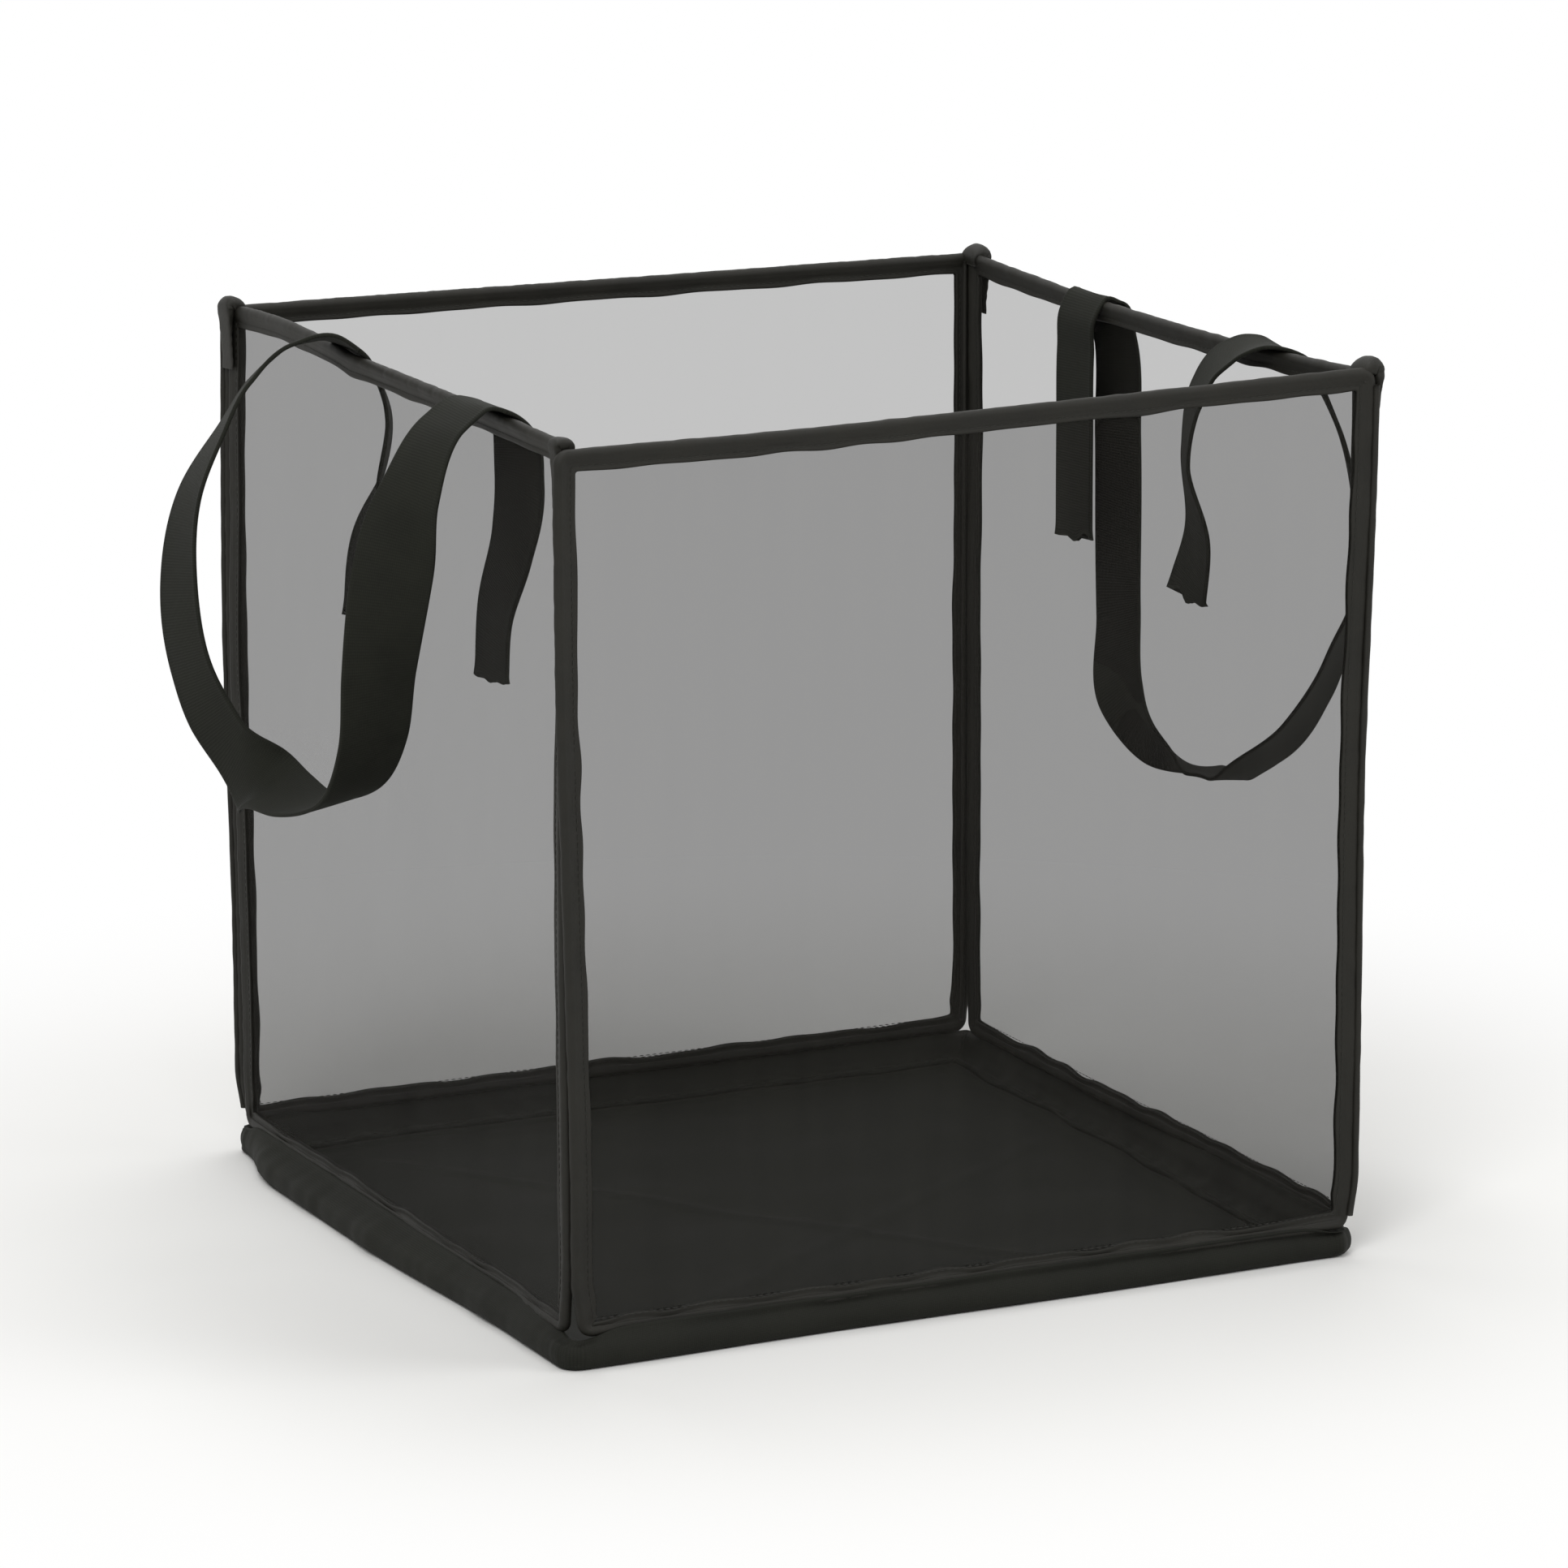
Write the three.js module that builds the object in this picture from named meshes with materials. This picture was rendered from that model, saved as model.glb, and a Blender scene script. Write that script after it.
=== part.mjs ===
// A pop-up laundry hamper: four mesh walls, each stretched in a loop of spring wire, a woven floor
// with a corded edge, and a webbing handle on each side wall.
// Millimetres, +Z up. The origin is the centre of the floor's underside, X runs along the front wall
// and Y from the front wall to the back wall.
import * as THREE from "three";

// Driving sizes of the hamper.
const boxWidth = 350; // between the middle planes of the two side walls
const boxDepth = 350; // between the middle planes of the front and back walls
const wallHeight = 358.3; // from the lower to the upper edge of a wall's casing
const seat = 0.3; // gap that stands for two sewn or touching pieces
const foldGap = 2.6; // room between two walls when they lie face to face

// Casing: a binding tape folded round the wire and the edge of the mesh, then stitched.
const casingWidth = 9;
const casingRadius = 2.3; // of the round part over the wire
const tapeThickness = 0.55;
const hemHalf = 1.15; // half thickness of the stitched hem
const cornerRadius = 6; // outer corner of a wall
const leastCorner = 1; // of the sharpest corners inside a casing

// What the casing holds.
const wireRadius = 0.9;
const wireEndGap = 0.6; // between the two ends of the wire, inside the ferrule
const ferruleRadius = 1.45;
const ferruleBore = 1.15;
const ferruleLength = 22;
const meshThickness = 0.6;
const meshGrip = 4.2; // how far the hem reaches over the mesh

// Floor and its corded edge.
const floorThickness = 0.8;
const floorLift = 0.8; // how far the floor's rim is raised to enter the binding
const floorRimWidth = 11;
const floorSlope = 5; // run over which the floor drops from its rim to the ground
const cordRadius = 5; // a soft foam cord
const edgeRadius = 6.2; // outer radius of the binding round the cord
const edgeFlat = 0.5; // depth that the edge is pressed flat where it stands
const edgeOffset = 1.8; // how far the edge's middle lies outside the walls' middle planes
const edgeCornerRadius = 3.6; // of the cord's middle line
const edgeHemWidth = 8; // flat hem inside the cord
const edgeTape = 0.9; // folded double

// Corner seams and the folded ends of the top binding.
const seamRadius = 1;
const tabWidth = 8;
const tabLength = 27;
const tabThickness = 1.5;
const tabCrown = 3.6; // how far the folded end stands above the rail
const tabFlare = 1.4; // how far its lower end stands off the casing
const tabFromEnd = 0.4; // from the end of the wall

// Webbing handles.
const webWidth = 32;
const webThickness = 1.5;
const tailLength = 104; // sewn end inside the wall, below the rail
const wrapEnd = -25; // degrees from the level at which a sewn end stops outside the rail
const rootAngle = -15; // degrees at which the loop leaves the rail
const rootLength = 4; // straight run with which it leaves

// One handle for each side wall: its two ends from the middle of the wall towards the front as shares
// of the box's depth, how far each sewn end leans to the back, and how far its loop stands off the wall
// and hangs down. Each row of its route gives shares of that reach, of half the distance between the
// ends (1 at the front end, -1 at the back end), of that fall, and of a right angle for the turn of the
// webbing's width from the rail's direction.
const leftHandle = {
  name: "left",
  frontEndShare: 0.297,
  backEndShare: -0.143,
  frontLean: 28,
  backLean: 18,
  reach: 74,
  fall: 170,
  routeShares: [
    [0.3, 1.0, 0.0, 0.36],
    [0.47, 0.99, 0.155, 0.62],
    [0.58, 0.96, 0.355, 0.71],
    [0.61, 0.91, 0.59, 0.8],
    [0.57, 0.77, 0.8, 0.93],
    [0.555, 0.51, 0.94, 0.98],
    [0.61, 0.14, 1.0, 0.96],
    [0.72, -0.27, 0.985, 0.76],
    [0.85, -0.64, 0.88, 0.44],
    [0.95, -0.87, 0.71, 0.2],
    [1.0, -0.97, 0.515, 0.07],
    [0.95, -1.0, 0.32, -0.02],
    [0.78, -1.01, 0.17, -0.2],
    [0.55, -1.01, 0.055, -0.33],
    [0.32, -1.0, -0.01, -0.3],
  ],
};
const rightHandle = {
  name: "right",
  frontEndShare: 0.269,
  backEndShare: -0.137,
  frontLean: 34,
  backLean: 3,
  reach: 45,
  fall: 201,
  routeShares: [
    [0.32, 1.01, 0.0, 0.11],
    [0.53, 1.05, 0.065, 0.22],
    [0.73, 1.07, 0.187, 0.24],
    [0.89, 1.07, 0.36, 0.24],
    [0.98, 1.03, 0.535, 0.27],
    [1.0, 0.86, 0.74, 0.4],
    [0.93, 0.58, 0.89, 0.58],
    [0.8, 0.21, 0.978, 0.73],
    [0.62, -0.21, 1.0, 0.78],
    [0.44, -0.58, 0.97, 0.69],
    [0.32, -0.83, 0.883, 0.44],
    [0.26, -0.97, 0.76, 0.11],
    [0.25, -1.01, 0.61, 0.05],
    [0.25, -1.01, 0.31, 0],
    [0.25, -1.0, 0.07, 0],
  ],
};

// Counts that set how finely curves are divided.
const cornerSteps = 5;
const roundSides = 8;
const cordSides = 10;
const handleSteps = 3; // between two rows of a route
const wrapSteps = 9;

// Sizes that follow from the ones above.
const casingThickness = 2 * casingRadius;
const cavityRadius = casingRadius - tapeThickness;
const slotHalf = meshThickness / 2 + seat;
const edgeMiddle = edgeRadius - edgeFlat; // height of the cord's middle
const edgeTop = edgeMiddle + edgeRadius;
const wallFoot = edgeTop + seat;
const railHeight = wallFoot + wallHeight - casingRadius; // middle of the wire in the top rail
const longWall = boxWidth + casingThickness; // front and back walls reach over the side walls' ends
const shortWall = boxDepth - casingThickness - 2 * seat;
const wireCorner = cornerRadius - casingRadius; // corner of the wire
const pivotIn = casingRadius + foldGap / 2; // from a wall's middle plane to a seam inside the corner
const pivotOut = (casingRadius + seat + seamRadius) * Math.SQRT1_2; // to a seam outside the corner
const wrapRadius = casingRadius + seat + webThickness / 2; // of a sewn end over the rail
const rootRadius = wrapRadius + webThickness / 2 + seat; // where the loop starts

// Materials, with the colours of the real cloth and steel.
function cloth(color, roughness) {
  return new THREE.MeshStandardMaterial({ color, roughness, metalness: 0 });
}
const binding = cloth(0x1e1d18, 0.85);
const webbing = cloth(0x1f201b, 0.9);
const floorCloth = cloth(0x1a1b16, 0.88);
const pipingCord = cloth(0xd8d4c8, 0.95);
const mesh = cloth(0x5c5850, 0.8);
mesh.transparent = true;
mesh.opacity = 0.5;
const steel = new THREE.MeshStandardMaterial({
  color: 0x9a9c9e,
  roughness: 0.35,
  metalness: 1,
});

// Points of a rounded rectangle about the origin, anticlockwise.
function roundedLoop(width, height, radius) {
  const loop = [];
  const signs = [
    [1, -1],
    [1, 1],
    [-1, 1],
    [-1, -1],
  ];
  signs.forEach(([sx, sy], corner) => {
    const centre = new THREE.Vector2(sx * (width / 2 - radius), sy * (height / 2 - radius));
    for (let step = 0; step <= cornerSteps; step++) {
      const angle = (Math.PI / 2) * (corner - 1 + step / cornerSteps);
      const out = new THREE.Vector2(Math.cos(angle), Math.sin(angle));
      loop.push(centre.clone().addScaledVector(out, radius));
    }
  });
  return loop;
}

// A closed solid from rings of points: each ring has as many points, and ring follows ring.
// With closed set, the last ring joins the first, and otherwise a fan closes each end.
function skinRings(rings, closed) {
  const count = rings[0].length;
  const positions = rings.flat().flatMap((p) => [p.x, p.y, p.z]);
  const index = [];
  const spans = closed ? rings.length : rings.length - 1;
  for (let i = 0; i < spans; i++) {
    const a = i * count;
    const b = ((i + 1) % rings.length) * count;
    for (let k = 0; k < count; k++) {
      const next = (k + 1) % count;
      index.push(a + k, b + next, b + k, a + k, a + next, b + next);
    }
  }
  if (!closed) {
    const last = (rings.length - 1) * count;
    for (let k = 1; k < count - 1; k++) {
      index.push(0, k + 1, k);
      index.push(last, last + k, last + k + 1);
    }
  }
  const geometry = new THREE.BufferGeometry();
  geometry.setAttribute("position", new THREE.Float32BufferAttribute(positions, 3));
  geometry.setIndex(index);
  return geometry;
}

// Radius of a corner at some distance inside a loop of the given radius.
function cornerAt(radius, inset) {
  return Math.max(radius - inset, leastCorner);
}

// Carries a section round a rounded rectangle. In the section, x runs inwards from the loop and y
// along the loop's normal, and its points go anticlockwise. Each point of the section runs along its
// own smaller or larger rectangle, so the corners stay open where the section is wider than the radius.
function sweepLoop(section, width, height, radius) {
  const loops = section.map((s) =>
    roundedLoop(width - 2 * s.x, height - 2 * s.x, cornerAt(radius, s.x)),
  );
  const rings = loops[0].map((_, i) =>
    section.map((s, k) => new THREE.Vector3(loops[k][i].x, loops[k][i].y, s.y)),
  );
  return skinRings(rings, true);
}

function arcPoints(cx, cy, radius, from, to, steps) {
  const points = [];
  for (let i = 0; i <= steps; i++) {
    const angle = THREE.MathUtils.degToRad(from + ((to - from) * i) / steps);
    points.push(new THREE.Vector2(cx + radius * Math.cos(angle), cy + radius * Math.sin(angle)));
  }
  return points;
}

// Casing section: a keyhole, open to the mesh, with the wire's cavity at its round end.
function casingSection() {
  const hemEnd = casingWidth - casingRadius;
  const outside = arcPoints(0, 0, casingRadius, 60, 300, roundSides);
  const inside = arcPoints(0, 0, cavityRadius, 320, 40, roundSides);
  return [
    new THREE.Vector2(hemEnd, hemHalf),
    ...outside,
    new THREE.Vector2(hemEnd, -hemHalf),
    new THREE.Vector2(hemEnd, -slotHalf),
    new THREE.Vector2(hemEnd - meshGrip, -slotHalf),
    ...inside,
    new THREE.Vector2(hemEnd - meshGrip, slotHalf),
    new THREE.Vector2(hemEnd, slotHalf),
  ];
}

// A wall's own frame: x along the wall, y up from the wall's foot, z outwards.
// Its wire lies one casing radius inside the wall's outer edge.
function casingGeometry(length) {
  return sweepLoop(
    casingSection(),
    length - casingThickness,
    wallHeight - casingThickness,
    wireCorner,
  ).translate(0, wallHeight / 2, 0);
}

// The wire starts and ends in the middle of the lower edge, where the ferrule joins its ends.
function wireGeometry(length) {
  const loop = roundedLoop(length - casingThickness, wallHeight - casingThickness, wireCorner);
  const first = new THREE.Vector2(wireEndGap / 2, loop[0].y);
  const last = new THREE.Vector2(-wireEndGap / 2, loop[0].y);
  const route = [first, ...loop, last];
  const rings = route.map((p, i) => {
    const before = route[Math.max(i - 1, 0)];
    const after = route[Math.min(i + 1, route.length - 1)];
    const along = after.clone().sub(before).normalize();
    const side = new THREE.Vector2(-along.y, along.x);
    return arcPoints(0, 0, wireRadius, 0, 360 - 360 / roundSides, roundSides - 1).map(
      (s) => new THREE.Vector3(p.x + side.x * s.x, p.y + side.y * s.x, s.y),
    );
  });
  return skinRings(rings, false).translate(0, wallHeight / 2, 0);
}

// A crimped sleeve over the two wire ends, narrower at its two rolled ends.
function ferruleGeometry() {
  const half = ferruleLength / 2;
  const wall = ferruleRadius - ferruleBore;
  const profile = [
    new THREE.Vector2(ferruleBore, -half),
    new THREE.Vector2(ferruleRadius - wall / 2, -half),
    new THREE.Vector2(ferruleRadius, -half + wall),
    new THREE.Vector2(ferruleRadius, half - wall),
    new THREE.Vector2(ferruleRadius - wall / 2, half),
    new THREE.Vector2(ferruleBore, half),
    new THREE.Vector2(ferruleBore, -half),
  ];
  return new THREE.LatheGeometry(profile, roundSides)
    .rotateZ(-Math.PI / 2)
    .translate(0, casingRadius, 0);
}

// The mesh panel reaches into the casing's slot all round.
function panelGeometry(length) {
  const inset = casingWidth - meshGrip + seat;
  const corner = cornerAt(cornerRadius, inset);
  const loop = roundedLoop(length - 2 * inset, wallHeight - 2 * inset, corner);
  return new THREE.ExtrudeGeometry(new THREE.Shape(loop), {
    depth: meshThickness,
    bevelEnabled: false,
  }).translate(0, wallHeight / 2, -meshThickness / 2);
}

// Webbing through the given middle points, each with the direction of the webbing's width.
function ribbon(points, widths) {
  const rings = points.map((at, i) => {
    const before = points[Math.max(i - 1, 0)];
    const after = points[Math.min(i + 1, points.length - 1)];
    const along = after.clone().sub(before).normalize();
    const wide = widths[i].clone();
    wide.addScaledVector(along, -wide.dot(along)).setLength(webWidth / 2);
    const thick = new THREE.Vector3().crossVectors(along, wide).setLength(webThickness / 2);
    return [
      at.clone().add(wide).add(thick),
      at.clone().sub(wide).add(thick),
      at.clone().sub(wide).sub(thick),
      at.clone().add(wide).sub(thick),
    ];
  });
  return skinRings(rings, false);
}

// A point of a handle. On the left wall "front" runs along +x, and on the right one along -x, and
// its rise is measured from the middle of the wire in the top rail.
function handlePoint(front, rise, out, side) {
  return new THREE.Vector3(side * front, railHeight - wallFoot + rise, out);
}

// The sewn end of a handle: up the inside of the wall and over the rail.
function tailGeometry(front, lean, side) {
  const leg = [
    handlePoint(front - lean, -tailLength, -wrapRadius, side),
    handlePoint(front - lean / 2, -tailLength / 2, -wrapRadius, side),
    handlePoint(front, -casingWidth, -wrapRadius, side),
  ];
  const wrap = arcPoints(0, 0, wrapRadius, 180, wrapEnd, wrapSteps);
  const points = [...leg, ...wrap.map((p) => handlePoint(front, p.y, p.x, side))];
  const widths = points.map(() => new THREE.Vector3(side, 0, 0));
  return ribbon(points, widths);
}

// The loop of a handle, from its front end out, down, along and up again to its back end.
function loopGeometry(handle, side) {
  const frontEnd = handle.frontEndShare * boxDepth;
  const backEnd = handle.backEndShare * boxDepth;
  const middle = (frontEnd + backEnd) / 2;
  const half = (frontEnd - backEnd) / 2;
  const [near] = arcPoints(0, 0, rootRadius, rootAngle, rootAngle, 1);
  const [far] = arcPoints(0, 0, rootRadius + rootLength, rootAngle, rootAngle, 1);
  const stations = [
    [near.x, frontEnd, near.y, 0],
    [far.x, frontEnd, far.y, 0],
    ...handle.routeShares.map(([out, along, fall, turn]) => [
      out * handle.reach,
      middle + along * half,
      -fall * handle.fall,
      turn,
    ]),
    [far.x, backEnd, far.y, 0],
    [near.x, backEnd, near.y, 0],
  ];
  const route = new THREE.CatmullRomCurve3(
    stations.map(([out, front, rise]) => handlePoint(front, rise, out, side)),
    false,
    "centripetal",
  );
  const across = new THREE.CatmullRomCurve3(
    stations.map(([, , , turn]) => {
      const angle = (turn * Math.PI) / 2;
      return new THREE.Vector3(-side * Math.cos(angle), 0, Math.sin(angle));
    }),
    false,
    "catmullrom",
  );
  const steps = handleSteps * (stations.length - 1);
  const shares = Array.from({ length: steps + 1 }, (_, i) => i / steps);
  return ribbon(
    shares.map((share) => route.getPoint(share)),
    shares.map((share) => across.getPoint(share)),
  );
}

// The folded end of the top binding: a small crown over the rail and a strip down the outside.
function tabGeometry() {
  const top = wallHeight + seat;
  const face = casingRadius + seat;
  const outline = new THREE.Shape();
  outline.moveTo(-casingRadius, top);
  outline.quadraticCurveTo(-casingRadius, top + tabCrown, 0, top + tabCrown);
  outline.quadraticCurveTo(face + tabThickness, top + tabCrown, face + tabThickness, top);
  outline.lineTo(face + tabThickness, top - tabLength / 2);
  outline.lineTo(face + tabThickness + tabFlare, top - tabLength);
  outline.lineTo(face + tabFlare, top - tabLength);
  outline.lineTo(face, top - tabLength / 2);
  outline.lineTo(face, top);
  return new THREE.ExtrudeGeometry(outline, {
    depth: tabWidth,
    bevelEnabled: false,
    curveSegments: 4,
  })
    .rotateY(-Math.PI / 2)
    .translate(tabWidth / 2, 0, 0);
}

// Floor: it lies on the ground, and its rim rises to enter the binding.
function floorGeometry() {
  const rimEdge = edgeRadius - edgeTape;
  const outer = [boxWidth, boxDepth].map((size) => size + 2 * (edgeOffset - rimEdge - seat));
  const corner = cornerAt(edgeCornerRadius, rimEdge + seat);
  const ring = (inset, height) =>
    roundedLoop(outer[0] - 2 * inset, outer[1] - 2 * inset, corner).map(
      (point) => new THREE.Vector3(point.x, point.y, height),
    );
  const rimInset = floorRimWidth;
  const flatInset = floorRimWidth + floorSlope;
  return skinRings(
    [
      ring(flatInset, 0),
      ring(rimInset, floorLift),
      ring(0, floorLift),
      ring(0, floorLift + floorThickness),
      ring(rimInset, floorLift + floorThickness),
      ring(flatInset, floorThickness),
    ],
    false,
  );
}

// Carries a section round the base, along the middle line of the cord.
function sweepEdge(section) {
  const extra = 2 * edgeOffset;
  return sweepLoop(section, boxWidth + extra, boxDepth + extra, edgeCornerRadius);
}

// Edge binding: round over the cord, pressed flat below, with a hem that grips the floor's rim.
function edgeSection() {
  const hemEnd = edgeRadius + edgeHemWidth;
  const slotLow = floorLift - seat;
  const slotHigh = floorLift + floorThickness + seat;
  const hemTop = slotHigh + edgeTape;
  const flatHalf = Math.sqrt(edgeRadius ** 2 - edgeMiddle ** 2);
  const flatAngle = THREE.MathUtils.radToDeg(Math.atan2(edgeMiddle, flatHalf));
  const cavity = edgeRadius - edgeTape;
  const hemAngle = THREE.MathUtils.radToDeg(Math.asin((edgeMiddle - hemTop) / edgeRadius));
  const outside = arcPoints(0, edgeMiddle, edgeRadius, -hemAngle, 180 + flatAngle, cordSides);
  const lowAngle = THREE.MathUtils.radToDeg(Math.asin((edgeMiddle - slotLow) / cavity));
  const highAngle = THREE.MathUtils.radToDeg(Math.asin((edgeMiddle - slotHigh) / cavity));
  const inside = arcPoints(0, edgeMiddle, cavity, 360 - lowAngle, -highAngle, cordSides);
  return [
    new THREE.Vector2(hemEnd, hemTop),
    ...outside,
    new THREE.Vector2(hemEnd, 0),
    new THREE.Vector2(hemEnd, slotLow),
    ...inside,
    new THREE.Vector2(hemEnd, slotHigh),
  ];
}

function edgeCordGeometry() {
  const section = arcPoints(0, edgeMiddle, cordRadius, 0, 360 - 360 / cordSides, cordSides - 1);
  return sweepEdge(section);
}

function addMesh(parent, name, geometry, material) {
  const piece = new THREE.Mesh(geometry, material);
  piece.name = name;
  parent.add(piece);
  return piece;
}

// A wall: casing, wire, ferrule and mesh. It is turned so that its z points out of the box.
function wallGroup(name, length, distance, turn) {
  const side = new THREE.Group();
  side.rotation.z = turn;
  const wall = new THREE.Group();
  wall.rotation.x = Math.PI / 2;
  wall.position.set(0, -distance, wallFoot);
  side.add(wall);
  addMesh(wall, `${name}_wall_casing`, casingGeometry(length), binding);
  addMesh(wall, `${name}_wall_wire`, wireGeometry(length), steel);
  addMesh(wall, `${name}_wall_wire_ferrule`, ferruleGeometry(), steel);
  addMesh(wall, `${name}_wall_mesh`, panelGeometry(length), mesh);
  return { side, wall };
}

// Seam between two walls: a rolled edge on the line about which the corner folds.
function addSeam(parent, name, x, y) {
  const height = wallHeight - 2 * cornerRadius;
  const seam = new THREE.CylinderGeometry(seamRadius, seamRadius, height, roundSides);
  const piece = addMesh(parent, name, seam, binding);
  piece.rotation.x = Math.PI / 2;
  piece.position.set(x, y, wallFoot + wallHeight / 2);
}

// Side walls carry the handles and the folded ends of the top binding.
function dressSideWall(wall, handle, side) {
  for (const end of ["front", "back"]) {
    const place = handle[`${end}EndShare`] * boxDepth;
    const tail = tailGeometry(place, handle[`${end}Lean`], side);
    addMesh(wall, `${handle.name}_handle_${end}_tail`, tail, webbing);
    const tab = addMesh(wall, `${handle.name}_${end}_binding_tab`, tabGeometry(), binding);
    const toEnd = shortWall / 2 - tabFromEnd - tabWidth / 2;
    tab.position.x = side * (end === "front" ? toEnd : -toEnd);
  }
  addMesh(wall, `${handle.name}_handle_loop`, loopGeometry(handle, side), webbing);
}

const hamper = new THREE.Group();
addMesh(hamper, "base_floor", floorGeometry(), floorCloth);
addMesh(hamper, "base_edge_binding", sweepEdge(edgeSection()), floorCloth);
addMesh(hamper, "base_edge_cord", edgeCordGeometry(), pipingCord);

const quarter = Math.PI / 2;
const front = wallGroup("front", longWall, boxDepth / 2, 0);
const back = wallGroup("back", longWall, boxDepth / 2, 2 * quarter);
const left = wallGroup("left", shortWall, boxWidth / 2, -quarter);
const right = wallGroup("right", shortWall, boxWidth / 2, quarter);
dressSideWall(left.wall, leftHandle, 1);
dressSideWall(right.wall, rightHandle, -1);
for (const { side } of [front, back, left, right]) {
  hamper.add(side);
}

// The back-right and front-left corners close when the box folds, so their seams lie inside, and the
// other two open out flat, so theirs lie outside.
const seamX = boxWidth / 2;
const seamY = boxDepth / 2;
addSeam(hamper, "back_right_seam", seamX - pivotIn, seamY - pivotIn);
addSeam(hamper, "front_left_seam", pivotIn - seamX, pivotIn - seamY);
addSeam(hamper, "back_left_seam", -seamX - pivotOut, seamY + pivotOut);
addSeam(hamper, "front_right_seam", seamX + pivotOut, -seamY - pivotOut);

export default hamper;
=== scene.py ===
# %% [markdown]
# # A pop up laundry hamper
#
# This hamper is a box of fine mesh. Each wall is a panel of knitted mesh held tight by a loop of
# spring wire, and the wire runs inside a casing: a binding tape folded over the mesh's edge and
# stitched. The floor is woven cloth with a corded edge, and a webbing handle hangs on each side wall.
#
# The CAD model gives the size, the places and what moves. This file makes everything that shows:
# almost all of it is cloth, so nearly every CAD solid is replaced by a softer, finer surface. The
# frame comes first, and every length here is in metres, with +Z up and the front wall towards -Y.

import math

import bpy
import numpy as np
from mathutils import Matrix, Vector


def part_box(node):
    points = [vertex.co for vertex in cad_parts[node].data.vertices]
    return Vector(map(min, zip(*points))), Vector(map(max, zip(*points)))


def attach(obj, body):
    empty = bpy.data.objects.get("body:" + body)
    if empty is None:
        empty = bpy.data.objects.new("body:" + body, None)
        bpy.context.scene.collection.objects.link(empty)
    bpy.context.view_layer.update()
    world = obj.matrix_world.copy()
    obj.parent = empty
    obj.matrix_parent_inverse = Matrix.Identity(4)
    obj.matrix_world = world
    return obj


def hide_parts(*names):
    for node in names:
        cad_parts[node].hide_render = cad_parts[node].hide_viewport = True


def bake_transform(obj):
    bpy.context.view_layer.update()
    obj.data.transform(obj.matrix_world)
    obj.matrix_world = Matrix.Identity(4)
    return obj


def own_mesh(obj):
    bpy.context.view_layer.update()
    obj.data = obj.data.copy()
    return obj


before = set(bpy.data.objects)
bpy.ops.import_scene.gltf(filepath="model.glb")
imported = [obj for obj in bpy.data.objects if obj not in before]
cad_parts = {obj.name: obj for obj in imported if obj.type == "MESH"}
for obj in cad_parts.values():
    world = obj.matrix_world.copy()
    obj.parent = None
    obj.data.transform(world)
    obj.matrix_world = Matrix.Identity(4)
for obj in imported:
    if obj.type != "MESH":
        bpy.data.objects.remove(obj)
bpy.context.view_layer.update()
MM = 0.001
DEGREE = math.pi / 180

# %% [markdown]
# The sizes of the box are read from the CAD solids, so the cloth always fits them. The front wall's
# casing gives the heights of foot and rail. The front and left casings give the walls' lengths and how
# far they stand from the box's middle.


# %% Read the sizes of the box
def box(node):
    low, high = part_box(node)
    return np.array(low), np.array(high)


rail_low, rail_high = box("front_wall_casing")
left_low, left_high = box("left_wall_casing")
edge_low, edge_high = box("base_edge_binding")
floor_low, floor_high = box("base_floor")

FOOT = rail_low[2]
TOP = rail_high[2]
LONG_WALL = rail_high[0] - rail_low[0]
SHORT_WALL = left_high[1] - left_low[1]
BULB = (rail_high[1] - rail_low[1]) / 2
SIDE_X = -(left_low[0] + left_high[0]) / 2
SIDE_Y = -(rail_low[1] + rail_high[1]) / 2
RAIL = TOP - BULB
print(f"walls stand {2 * SIDE_X:.3f} m apart and reach {TOP:.3f} m up")

# %% [markdown]
# The camera repeats the photograph's view: a long lens a little over three metres away, turned about
# 26 degrees round the box and looking 13 degrees down. Its numbers come from a least-squares fit to
# six corners of the box and to points on two of its rails.

# %% Camera
PHOTO_SIDE = 1932
FOCAL_PIXELS = 9472
SENSOR = 36
CAMERA_PLACE = (-1.3555, -2.8177, 0.9104)
YAW = math.radians(25.687)
PITCH = math.radians(13.128)
ROLL = math.radians(-0.099)

forward = Vector(
    (math.sin(YAW) * math.cos(PITCH), math.cos(YAW) * math.cos(PITCH), -math.sin(PITCH))
)
level_right = Vector((math.cos(YAW), -math.sin(YAW), 0))
level_up = level_right.cross(forward)
right = math.cos(ROLL) * level_right + math.sin(ROLL) * level_up
up = right.cross(forward)

camera_data = bpy.data.cameras.new("photo_camera")
camera_data.sensor_width = SENSOR
camera_data.lens = SENSOR * FOCAL_PIXELS / PHOTO_SIDE
camera_data.clip_end = 50
camera = bpy.data.objects.new("photo_camera", camera_data)
bpy.context.collection.objects.link(camera)
turn = Matrix((right, up, -forward)).transposed().to_4x4()
camera.matrix_world = Matrix.Translation(CAMERA_PLACE) @ turn
bpy.context.scene.camera = camera
print(f"lens {camera_data.lens:.1f} mm")

# %% [markdown]
# All cloth here is made from grids of points, worked out with numpy. A sheet is an open grid, and a
# tube is a row of closed rings. Both get faces that look outwards and a UV map in metres, so that a
# weave keeps its real scale however the surface bends.


# %% A mesh from a grid of points
def unit(vectors):
    """Each row of the array, made one long."""
    return vectors / np.linalg.norm(vectors, axis=1)[:, None]


def distance_gone(points):
    """Distance along a row of points, from 0 at the first."""
    return np.concatenate([[0], np.cumsum(np.linalg.norm(np.diff(points, axis=0), axis=1))])


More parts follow.
